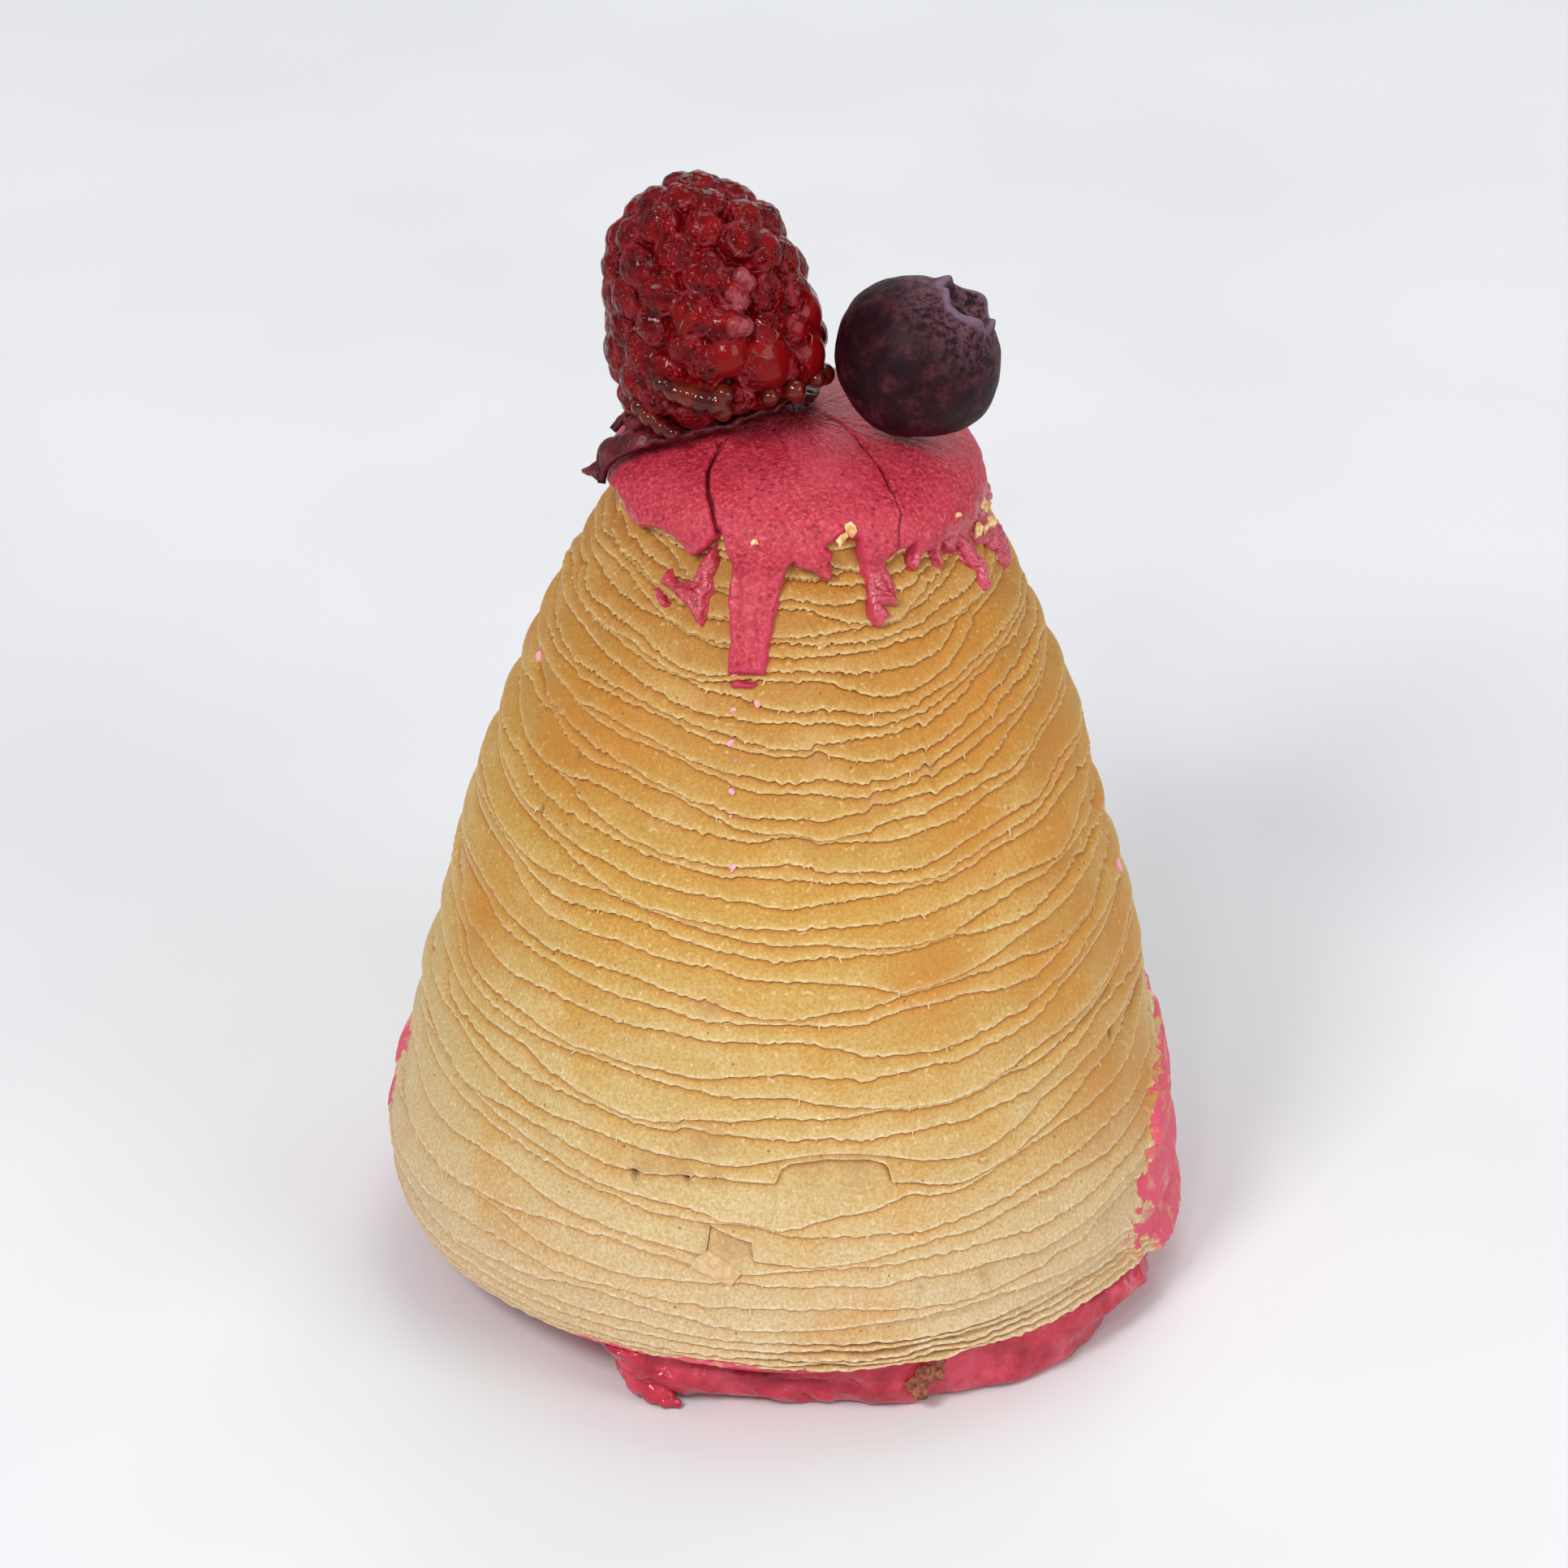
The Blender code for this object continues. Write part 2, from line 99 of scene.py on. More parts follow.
# Seams: azimuth, lowest and highest height, and how far the leaves step past it.
SEAMS = (
    (5.2, 59.0, 62.7, 0.35), (5.0, 51.6, 56.3, -0.3), (17.0, 55.0, 59.0, 0.35), (31.0, 56.0, 61.7, -0.4),
    (-14.0, 38.5, 41.5, 0.3), (12.0, 33.0, 36.0, -0.3), (-16.0, 27.5, 30.5, 0.4),
)
# Tears: the height of the torn leaf's edge, and the torn place's outline as azimuth and height.
TEARS = (
    (25.2, ((-0.8, 25.2), (-0.3, 26.5), (1.3, 27.1), (6.9, 27.5), (13.2, 27.2), (15.9, 26.6), (16.9, 25.4))),
    (18.2, ((-10.7, 18.2), (-10.5, 20.9), (-6.5, 20.1), (-2.9, 19.6), (-3.3, 18.9), (-3.8, 17.6))),
)
# Dents, stains with painted shade inside the tears, and toasted places: azimuth, height and radius.
DENTS = (
    (-50.2, 57.0, 0.4), (-55.7, 51.0, 0.3), (66.1, 28.7, 0.6), (-23.1, 24.1, 0.45), (-14.7, 24.6, 0.35),
    (21.0, 14.2, 0.3),
)
# Some of these are painted shade: the ones at 4.5, 11.5 and -7.5 degrees lie under the torn edges inside the
# tears. The rest are brown stains.
STAINS_AND_TEAR_SHADE = (
    (-20.6, 25.3, 1.2), (-16.0, 25.6, 1.4), (-10.0, 25.2, 1.0), (-12.0, 28.5, 1.6), (5.2, 61.0, 0.9),
    (4.5, 26.5, 1.5), (11.5, 26.4, 1.8), (-7.5, 19.0, 1.6), (5.0, 54.0, 0.9), (17.0, 57.0, 0.9),
    (31.0, 58.8, 1.0), (31.0, 14.5, 0.8), (-13.0, 40.0, 1.0),
)
TOASTED = (
    (-56.0, 58.0, 5.0), (-40.0, 60.0, 4.0), (-66.0, 39.0, 4.5), (27.0, 41.5, 5.0), (51.0, 38.0, 5.5),
    (64.0, 40.0, 5.0), (86.0, 45.0, 6.0), (50.0, 62.0, 6.0), (70.0, 56.0, 6.0), (62.0, 26.0, 6.5),
    (40.0, 52.0, 4.0), (76.0, 34.0, 7.0), (60.0, 48.0, 6.0), (75.0, 22.0, 6.0), (150.0, 50.0, 7.0),
    (215.0, 38.0, 7.0), (255.0, 60.0, 6.0),
)
FLAP = ((-12.6, 17.7), (-13.0, 16.9), (-9.5, 16.3), (-7.0, 15.7), (-5.5, 17.0), (-10.5, 18.7))
FLAP_THICKNESS = 0.3
# Smears of icing: azimuth, half width in degrees, height, half height and thickness.
SMEARS = (
    (-18.0, 26.0, 5.0, 2.6, 0.0), (96.0, 33.0, 8.0, 15.0, 1.0), (-101.0, 14.0, 9.5, 9.5, 0.2),
)
# Threads of dough: how many, and their lengths with the share of each.
THREADS = 900
THREAD_LENGTHS = (0.22, 0.3, 0.7)
THREAD_SHARES = (0.6, 0.3, 0.1)
STRAND_SIDES = 5

# The icing: a dome and a skirt that runs down in drips.
ICING_RADIUS = 16.3
ICING_TOP = 81.8
ICING_POWER = 2.6
ICING_STAND_OFF = 1.3
ICING_DEPTH = 1.2
ICING_EDGE = 77.2
ICING_LOWEST = 65.5
UNDER_ICING_LOWEST = 66.0
ICING_COLUMNS = 640
ICING_DOME_ROWS = 200
ICING_ROUNDING = 0.5
MM_PER_DEGREE = 0.3
# Drips round the back: azimuth, half width in degrees and the height of the tip.
BACK_DRIPS = (
    (106, 7, 72.2), (120, 4, 74.6), (138, 7, 73.8), (166, 8, 69.8), (181, 4, 74.8), (194, 6, 74.0),
    (222, 8, 71.0), (238, 4, 75.0), (252, 7, 73.6),
)
# The icing's lower edge round the front, from left to right, as azimuth and height.
FRONT_EDGE = (
    (-90, 75.6), (-80, 76.4), (-69, 77.2), (-63, 76.5), (-59, 75.4), (-54, 75.8), (-48, 76.6), (-40, 76.6),
    (-36, 75.9), (-33, 75.2), (-30.5, 75.6), (-28, 76.6), (-25.3, 77.6), (-24.5, 78.6), (-22.5, 77.8),
    (-20.4, 76.2), (-18.5, 73.1), (-16.5, 70.2), (-15.5, 67.7), (-6.6, 67.9), (-6.2, 70.0), (-4.9, 72.4),
    (-3.1, 74.5), (-0.6, 76.3), (1.0, 75.6), (4.6, 75.3), (7.2, 75.0), (11.5, 74.5), (12.6, 75.2),
    (10.5, 75.9), (13.1, 76.3), (12.4, 77.0), (9.8, 77.6), (12.4, 78.2), (17.2, 78.6), (21.1, 78.2),
    (21.6, 75.7), (22.9, 74.1), (22.0, 73.0), (21.6, 71.8), (23.6, 71.1), (27.4, 71.7), (26.6, 72.6),
    (30.5, 72.3), (31.5, 73.7), (29.6, 75.2), (33.3, 75.9), (40.4, 76.4), (38.6, 74.6), (40.2, 74.2),
    (43.5, 75.0), (49.0, 75.2), (50.0, 73.6), (51.6, 73.8), (53.0, 75.0), (56.6, 74.0), (60.4, 74.4),
    (62.2, 72.2), (62.8, 70.5), (65.6, 70.3), (66.8, 71.6), (65.8, 73.2), (68.0, 74.0), (75.0, 73.0),
    (79.0, 70.6), (82.3, 69.6), (84.6, 71.2), (88.0, 73.4),
)
# Patches of icing apart from the cap: outlines as azimuth and height.
ISLANDS = (
    ((-40.9, 73.4), (-39.6, 74.1), (-35.6, 73.5), (-31.6, 73.8), (-28.8, 75.8), (-26.0, 76.6), (-24.7, 75.1),
     (-25.6, 74.4), (-23.6, 73.6), (-24.6, 73.2), (-23.8, 72.0), (-24.5, 70.6), (-26.5, 70.9), (-32.0, 72.1),
     (-37.1, 72.6), (-41.4, 72.9)),
    ((-43.5, 72.3), (-41.9, 72.6), (-36.2, 71.8), (-37.5, 71.3)),
    ((-15.0, 66.9), (-13.4, 67.2), (-8.2, 67.3), (-9.5, 66.9), (-14.4, 66.6)),
)
# Cracks: points seen from above, half width and depth.
CRACKS = (
    (((-6.3, -4.1), (-7.3, -8.0), (-7.3, -11.0), (-6.7, -14.2)), 0.19, 0.75),
    (((0.0, 3.0), (3.7, -1.1), (5.4, -3.8)), 0.1, 0.4),
    (((5.4, -3.8), (7.4, -8.3), (8.3, -10.4)), 0.15, 0.6),
    (((8.3, -10.4), (8.9, -12.0), (9.0, -13.6)), 0.09, 0.35),
    (((-2.2, -1.4), (-1.6, -2.9), (-0.6, -5.7)), 0.09, 0.25),
)
CRACK_LIP = 0.06
# Flakes of pastry and specks of icing: azimuth, height and radius. Above a height they lie on the icing.
CRUMBS = (
    (-11.7, 78.0, 0.4), (14.6, 78.2, 0.8), (17.6, 78.8, 0.6), (57.4, 77.2, 0.5), (69.5, 74.2, 0.9),
    (75.0, 73.8, 0.8), (80.3, 73.6, 0.9), (78.1, 75.5, 0.8), (84.0, 74.6, 0.8), (8.0, 69.4, 0.5),
    (32.0, 24.9, 0.35),
)
SPECKS = (
    (-80.1, 60.3, 0.6), (-14.1, 67.0, 0.5), (-8.0, 65.0, 0.3), (-13.8, 64.3, 0.4), (-12.9, 61.9, 0.5),
    (-11.6, 60.5, 0.3), (-11.9, 58.1, 0.4), (-11.7, 56.1, 0.3), (-10.6, 52.0, 0.4), (-44.3, 14.3, 0.3),
    (84.0, 40.0, 0.7),
)
FLAKE_CORNERS = 7
ON_ICING_HEIGHT = 70.0

# The raspberry, the blueberry and the slice, as in the model.
RASPBERRY_BASE = (-5.5, 1.2, 83.5)
RASPBERRY_TIP = (-10.4, 1.2, 104.0)
RASPBERRY_OUTLINE = (
    (0.0, 8.5), (3.0, 9.3), (7.0, 9.3), (11.0, 8.7), (14.5, 7.6), (17.5, 5.9), (19.8, 3.4), (20.9, 0.0),
)
RASPBERRY_ROWS = 190
RASPBERRY_COLUMNS = 360
DRUPELET_RADIUS = 2.35
DRUPELET_COUNT = 88
DRUPELET_RISE = 1.9
DRUPELET_MELT = 7.0
ARC_PLACE = 0.74
ARC_WIDTH = 0.06
# Places on the raspberry: azimuth, height and, but for the hairs, radius.
FROSTED_DRUPELETS = (
    (31.0, 13.6, 0.8), (33.0, 12.9, 0.8), (22.0, 12.5, 0.8), (25.0, 11.7, 0.9), (18.0, 9.9, 1.0),
    (23.0, 9.6, 0.9),
)
GLAZED_DRUPELETS = ((31.5, 5.4, 2.9), (61.7, 3.9, 2.6), (74.0, 7.2, 2.6), (10.5, 7.4, 2.2))
GLAZE_BEADS = (
    (-50, 3.2, 0.8), (-45, 2.2, 0.8), (-39, 1.4, 0.8), (-33, 0.9, 0.7), (-29, 6.0, 0.8), (-22, 5.2, 1.0),
    (-15, 4.7, 1.1), (-8, 4.2, 1.2), (-2, 3.7, 1.2), (0, 2.9, 0.9), (3, 4.4, 0.9), (42, 2.3, 1.0),
    (43, 1.6, 0.7), (70, 1.4, 1.0), (60, 1.8, 0.8), (26, 2.9, 0.8),
)
HAIRS = (
    (20.9, 19.0), (5.5, 15.6), (39.3, 8.4), (-0.4, 9.1), (-15.4, 9.8), (21.3, 7.4), (-37.4, 10.8),
    (39.5, 15.5), (61.6, 6.4), (-8.3, 11.7), (-3.7, 13.3), (150.0, 12.0), (200.0, 8.0), (250.0, 6.0),
)
BLUEBERRY_CENTRE = (10.2, -1.8, 88.5)
BLUEBERRY_RADIUS = 7.2
BLUEBERRY_FLATNESS = 0.94
CALYX_AXIS = (0.6, -0.06, 0.8)
CALYX_LOBES = 5
CALYX_DEPTH = 1.2
CALYX_PIT = (0.16, 0.34)
CALYX_RIM = 0.4
CALYX_RIM_WIDTH = 0.085
SLICE_LIFT = 0.4
# The slice's two long edges seen from above, from its tip to under the raspberry.
SLICE_FRONT = ((-18.1, -3.2), (-13.8, -5.2), (-9.5, -5.2), (-4.4, -3.0), (1.5, 1.0))
SLICE_BACK = ((-15.6, 0.2), (-12.5, 3.6), (-7.5, 6.0), (-2.0, 6.0), (2.0, 4.0))
SLICE_NOTCH = 2.6
SLICE_OVERHANG_HEIGHT = 77.0
SLICE_OVERHANG_START = 15.5
SLICE_FALL_INSIDE = 0.35
SLICE_FALL_OUTSIDE = 0.75

# The foot: rows from inside the bell to its rim as radius and height, and how far the foot stands out in
# places, each with an azimuth and a spread in degrees.
FOOT_TOP = ((26.0, 6.9), (30.5, 7.0), (31.6, 6.9))
FOOT_SPREADS = (
    (1.0, 45, 14), (-2.4, 79, 15), (1.2, -68, 14), (-3.0, -43, 12), (-0.8, -1, 12), (-1.2, 60, 16),
)
FOOT_HOLLOW = 3.2

# The foot's blob at the front left, as balls of icing: x, y, z and radius; and the brown crumb beside it.
BLOB = (
    (-13.2, -26.8, 5.0, 1.3), (-12.4, -27.6, 4.7, 1.6), (-11.1, -28.4, 4.0, 1.8), (-9.7, -29.0, 3.5, 1.5),
    (-12.8, -27.8, 2.6, 1.1), (-11.9, -28.4, 1.9, 1.3), (-10.7, -29.1, 1.4, 1.2), (-9.6, -29.7, 1.0, 0.9),
    (-8.7, -29.9, 0.6, 0.6), (-11.8, -26.0, 2.6, 2.4),
)
BROWN_CRUMB = (
    (11.8, -29.6, 3.1, 0.8), (12.8, -29.4, 3.8, 1.0), (13.8, -28.9, 4.6, 0.9), (12.5, -29.8, 2.4, 0.8),
    (14.0, -29.0, 3.6, 0.7),
)

# The camera: elevation and roll in degrees, distance to the aimed point and the lens in millimetres.
CAMERA_ELEVATION = 30.0
CAMERA_ROLL = 1.1
CAMERA_DISTANCE = 600.0
CAMERA_LENS = 156.52
CAMERA_AIM = (-0.43, 2.5, 44.33)

# The surroundings: half the floor's side in millimetres; the lights' aim and places in metres.
FLOOR_REACH = 1500
LIGHT_AIM = (0.0, 0.0, 0.05)
LIGHTS = (
    ("key", (-0.38, -0.6, 0.72), 0.25, 5.0),
    ("glint", (-0.1, -0.55, 0.5), 0.05, 0.5),
    ("fill", (0.6, -0.5, 0.45), 0.5, 2.8),
    ("top", (0.1, 0.3, 0.9), 0.4, 1.5),
    ("back", (0.1, 0.85, 0.4), 0.6, 1.6),
)


def smooth_curve(x, knots):
    """Return the smooth curve through the knots at x, level past its ends."""
    xs, ys = np.array(knots, dtype=float).T
    slopes = np.gradient(ys, xs)
    i = np.clip(np.searchsorted(xs, x) - 1, 0, len(xs) - 2)
    width = xs[i + 1] - xs[i]
    t = np.clip((x - xs[i]) / width, 0.0, 1.0)
    start = (1 + 2 * t) * (1 - t) ** 2 * ys[i] + t * (1 - t) ** 2 * width * slopes[i]
    end = t * t * (3 - 2 * t) * ys[i + 1] + t * t * (t - 1) * width * slopes[i + 1]
    return start + end


def along_knots(x, knots):
    """Return the straight-line value between knots at x."""
    xs, ys = np.array(knots, dtype=float).T
    return np.interp(x, xs, ys)


def dome(fraction, power):
    """Return the height of a dome of height 1 at a fraction of its radius."""
    return np.maximum(1 - np.clip(fraction, 0, 1) ** power, 0) ** (1 / power)


def apart(azimuth, centre):
    """Return the signed angle from a centre azimuth, in degrees."""
    return (azimuth - centre + 180) % 360 - 180


def hill(x, centre, width):
    """Return a smooth hill, 1 at its centre."""
    return np.exp(-((x - centre) / width) ** 2)


def bump(azimuth, centre, spread):
    """Return a smooth rise to 1 at the centre azimuth."""
    return hill(apart(azimuth, centre), 0, spread)


def ease(x, start, end):
    """Return a smooth step from 0 at start to 1 at end."""
    t = np.clip((x - start) / (end - start), 0, 1)
    return t * t * (3 - 2 * t)


def space_noise(x, y, z, size, seed):
    """Return smooth noise from -1 to 1 at points in space, with cells of a size."""
    values = np.random.default_rng(seed).uniform(-1, 1, 4096)
    total = 0.0
    places = [np.asarray(axis) / size + 500 for axis in (x, y, z)]
    corners = [np.floor(place).astype(np.int64) for place in places]
    parts = [place - corner for place, corner in zip(places, corners)]
    parts = [part * part * (3 - 2 * part) for part in parts]
    for i in (0, 1):
        for j in (0, 1):
            for k in (0, 1):
                key = (corners[0] + i) * 73856093 ^ (corners[1] + j) * 19349663
                key = key ^ (corners[2] + k) * 83492791
                weight = 1.0
                for part, step in zip(parts, (i, j, k)):
                    weight = weight * (part if step else 1 - part)
                total = total + values[key % 4096] * weight
    return total


def ring_noise(azimuth, height, size, seed, radius=30.0):
    """Return smooth noise on a cylinder round the bell's axis."""
    turn = np.radians(azimuth)
    return space_noise(radius * np.sin(turn), radius * np.cos(turn), height, size, seed)


def bell_radius(height):
    return smooth_curve(height, BELL_OUTLINE)


def around(azimuth, radius):
    """Return x and y at an azimuth and a radius."""
    turn = np.radians(azimuth)
    return radius * np.sin(turn), -radius * np.cos(turn)


def spot(azimuth, height, radius, centre, place, size, flatness=1.0):
    """Return a soft spot on a wall of a radius, 1 at its middle at a centre azimuth and a place in height."""
    arc = np.radians(apart(azimuth, centre)) * radius
    return np.exp(-((arc / size) ** 2 + ((height - place) / (flatness * size)) ** 2))


def settle(azimuth, radius, height):
    """Return x, y and z of a turned point once the bell has settled: its rim low on the right
    and its foot off to one side."""
    low = np.clip((height - FOOT_FLOOR) / (RIM_HEIGHT - FOOT_FLOOR), 0, 1)
    high = np.clip((RIM_DROP_REACH - height) / (RIM_DROP_REACH - RIM_HEIGHT), 0, 1) ** 2
    drop = RIM_DROP * bump(azimuth, RIM_DROP_AZIMUTH, RIM_DROP_SPREAD)
    height = height - drop * np.where(height < RIM_HEIGHT, low, high)
    slide = np.clip(1 - height / FOOT_SHIFT_HEIGHT, 0, 1) ** 1.5
    level = hill(height, LEFT_BULGE_HEIGHT, LEFT_BULGE_HEIGHT)
    bulge = LEFT_BULGE * level * bump(azimuth, LEFT_BULGE_AZIMUTH, LEFT_BULGE_SPREAD)
    x, y = around(azimuth, radius + bulge * (radius > 1))
    return x + FOOT_SHIFT[0] * slide, y + FOOT_SHIFT[1] * slide, height


def icing_path():
    """Return distance, radius and height down the icing's outer surface, over its dome and its side."""
    fraction = np.sin(np.linspace(0, np.pi / 2, ICING_DOME_ROWS))
    radius = ICING_RADIUS * fraction
    height = SHOULDER_HEIGHT + (ICING_TOP - SHOULDER_HEIGHT) * dome(fraction, ICING_POWER)
    side = np.linspace(SHOULDER_HEIGHT - 0.1, ICING_LOWEST - 1, 120)
    blend = np.clip((SHOULDER_HEIGHT - side) / 3.0, 0, 1)
    radius = np.append(radius, ICING_RADIUS * (1 - blend) + (bell_radius(side) + ICING_STAND_OFF) * blend)
    height = np.append(height, side)
    distance = np.append(0.0, np.cumsum(np.hypot(np.diff(radius), np.diff(height))))
    return distance, radius, height


def leaf_radius(height):
    """Return the radius of the leaves' envelope, which follows the icing's underside near the top."""
    top = ICING_TOP - ICING_DEPTH - SHOULDER_HEIGHT
    rise = np.clip((height - SHOULDER_HEIGHT) / top, 0, 1)
    under_dome = (ICING_RADIUS - ICING_DEPTH) * dome(rise, ICING_POWER)
    path_radius, path_height = [values[ICING_DOME_ROWS:] for values in icing_path()[1:]]
    beside = np.interp(-height, -path_height, path_radius) - ICING_DEPTH
    wall = np.where(height > UNDER_ICING_LOWEST, beside, bell_radius(height))
    return np.where(height > SHOULDER_HEIGHT, under_dome, wall)


def add_object(name, data):
    """Make an object that holds data and add it to the scene."""
    obj = bpy.data.objects.new(name, data)
    bpy.context.scene.collection.objects.link(obj)
    return obj


def build_mesh(name, points, faces):
    """Make an object from points in millimetres and faces."""
    mesh = bpy.data.meshes.new(name)
    mesh.from_pydata((np.asarray(points) * MM).tolist(), [], faces)
    mesh.update()
    mesh.shade_smooth()
    return add_object(name, mesh)


def ring_faces(rows, columns, closed=True):
    """Return the quads between rows of points, facing out for rows from the top and columns anticlockwise."""
    i, j = np.meshgrid(np.arange(rows - 1), np.arange(columns if closed else columns - 1), indexing="ij")
    k = (j + 1) % columns
    above, below = i * columns, (i + 1) * columns
    return np.stack((above + j, below + j, below + k, above + k), axis=-1).reshape(-1, 4).tolist()


def closed_turning(name, x, y, z):
    """Make a closed object from rows of points round an axis, with a point at each end."""
    rows, columns = x.shape
    points = np.stack((x, y, z), axis=-1).reshape(-1, 3)
    ends = [points[:columns].mean(axis=0), points[-columns:].mean(axis=0)]
    faces = ring_faces(rows, columns)
    top, bottom = len(points), len(points) + 1
    last = (rows - 1) * columns
    for j in range(columns):
        k = (j + 1) % columns
        faces.append((top, j, k))
        faces.append((bottom, last + k, last + j))
    return build_mesh(name, np.vstack((points, ends)), faces)


def set_attribute(obj, name, values):
    """Store one number for each vertex; points added after the grid take 0."""
    layer = obj.data.attributes.new(name, "FLOAT", "POINT")
    full = np.zeros(len(obj.data.vertices), dtype=np.float32)
    flat = np.asarray(values, dtype=np.float32).ravel()
    full[:len(flat)] = flat
    layer.data.foreach_set("value", full)


def finish_piece(obj, material, slot, *nodes):
    """Give a piece its material and tie it to the model."""
    obj.data.materials.clear()
    obj.data.materials.append(material)
    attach(obj, "root")
    if nodes:
        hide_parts(*nodes)


def srgb(red, green, blue):
    """Return the linear colour of an sRGB colour given from 0 to 255."""
    values = np.array((red, green, blue)) / 255
    linear = np.where(values <= 0.04045, values / 12.92, ((values + 0.055) / 1.055) ** 2.4)
    return (*[float(value) for value in linear], 1.0)


class Shader:
    """A Principled material and short ways to add the nodes that feed it."""

    def __init__(self, name):
        self.material = bpy.data.materials.new(name)
        self.material.use_nodes = True
        self.tree = self.material.node_tree
        self.surface = self.tree.nodes["Principled BSDF"]
        self.coordinates = self.tree.nodes.new("ShaderNodeTexCoord").outputs["Object"]

    def feed(self, socket, value):
        if isinstance(value, bpy.types.NodeSocket):
            self.tree.links.new(value, socket)
        else:
            socket.default_value = value

    def set(self, **values):
        """Set or link the surface's inputs, with underscores for the spaces in their names."""
        for name, value in values.items():
            self.feed(self.surface.inputs[name.replace("_", " ")], value)

    def stretched(self, scale):
        """Return object coordinates stretched along each axis."""
        node = self.tree.nodes.new("ShaderNodeMapping")
        self.tree.links.new(self.coordinates, node.inputs["Vector"])
        node.inputs["Scale"].default_value = scale
        return node.outputs["Vector"]

    def noise(self, size, detail=2.0, roughness=0.5, stretch=None):
        """Return noise from 0 to 1 with features of a size in millimetres."""
        node = self.tree.nodes.new("ShaderNodeTexNoise")
        self.tree.links.new(self.stretched(stretch) if stretch else self.coordinates, node.inputs["Vector"])
        node.inputs["Scale"].default_value = 1 / (size * MM)
        node.inputs["Detail"].default_value = detail
        node.inputs["Roughness"].default_value = roughness
        return node.outputs["Fac"]

    def cells(self, size):
        """Return the distance to the nearest of scattered points, 0 to about 1."""
        node = self.tree.nodes.new("ShaderNodeTexVoronoi")
        self.tree.links.new(self.coordinates, node.inputs["Vector"])
        node.inputs["Scale"].default_value = 1 / (size * MM)
        return node.outputs["Distance"]

    def attribute(self, name):
        node = self.tree.nodes.new("ShaderNodeAttribute")
        node.attribute_name = name
        return node.outputs["Fac"]

    def height(self):
        """Return the height above the floor in metres."""
        node = self.tree.nodes.new("ShaderNodeSeparateXYZ")
        self.tree.links.new(self.coordinates, node.inputs[0])
        return node.outputs["Z"]

    def math(self, operation, first, second):
        node = self.tree.nodes.new("ShaderNodeMath")
        node.operation = operation
        self.feed(node.inputs[0], first)
        self.feed(node.inputs[1], second)
        return node.outputs[0]

    def times(self, *values):
        """Return the product of values."""
        product = values[0]
        for value in values[1:]:
            product = self.math("MULTIPLY", product, value)
        return product

    def range(self, value, low, high, to_low=0.0, to_high=1.0):
        """Return a value mapped from one range to another, held at its ends."""
        node = self.tree.nodes.new("ShaderNodeMapRange")
        node.interpolation_type = "SMOOTHSTEP"
        for socket, part in zip(node.inputs, (value, low, high, to_low, to_high)):
            self.feed(socket, part)
        return node.outputs[0]

    def mix(self, amount, first, second, blend="MIX"):
        node = self.tree.nodes.new("ShaderNodeMix")
        node.data_type = "RGBA"
        node.blend_type = blend
        self.feed(node.inputs[0], amount)
        self.feed(node.inputs[6], first)
        self.feed(node.inputs[7], second)
        return node.outputs[2]

    def tint(self, base, red, green, blue, *amounts):
        """Return the base colour with an sRGB colour mixed in, by the product of the amounts."""
        return self.mix(self.times(*amounts), base, srgb(red, green, blue))

    def ramp(self, value, stops):
        """Return a colour from stops, each a place from 0 to 1 and a colour."""
        node = self.tree.nodes.new("ShaderNodeValToRGB")
        elements = node.color_ramp.elements
        while len(elements) < len(stops):
            elements.new(0.5)
        for element, (place, colour) in zip(elements, stops):
            element.position = place
            element.color = colour
        self.feed(node.inputs[0], value)
        return node.outputs["Color"]

    def tones(self, value, *stops):
        """Return a colour from stops, each a place from 0 to 1 and an sRGB colour."""
        return self.ramp(value, [(place, srgb(*colour)) for place, *colour in stops])

    def bump(self, height, depth, strength=1.0, under=None):
        """Return a normal bumped by a height from 0 to 1 that is a depth in millimetres."""
        node = self.tree.nodes.new("ShaderNodeBump")
        node.inputs["Strength"].default_value = strength
        node.inputs["Distance"].default_value = depth * MM
        self.tree.links.new(height, node.inputs["Height"])
        if under is not None:
            self.tree.links.new(under, node.inputs["Normal"])
        return node.outputs["Normal"]

    def two_tone(self, mottling, first, second, roughness, grain, depth):
        """Mix two sRGB colours by a mottling and bump the surface by a grain; return the material."""
        base = self.mix(mottling, srgb(*first), srgb(*second))
        self.set(Base_Color=base, Roughness=roughness, Normal=self.bump(grain, depth))
        return self.material


def column_azimuths():
    """Return the azimuths of the pastry's columns, closest together on the front."""
    front = np.arange(-FRONT_REACH, FRONT_REACH, FRONT_STEP)
    back = np.arange(FRONT_REACH, 360 - FRONT_REACH, BACK_STEP)
    return np.concatenate((front, back))


def leaf_heights():
    heights = [LEAF_TOP]
    while heights[-1] > LEAF_LOWEST + 0.3:
        heights.append(heights[-1] - along_knots(heights[-1], LEAF_SPACING))
    return heights


def seam_shift(azimuth, height):
    """Return how far the leaves step down past each seam."""
    shift = 0.0
    for place, low, high, step in SEAMS:
        inside = ease(height, low - 1, low) * ease(-height, -high - 1, -high)
        past = ease(apart(azimuth, place), -0.5, 0.5) * np.exp(-np.maximum(apart(azimuth, place), 0) / 7)
        shift = shift + step * inside * past
    return shift


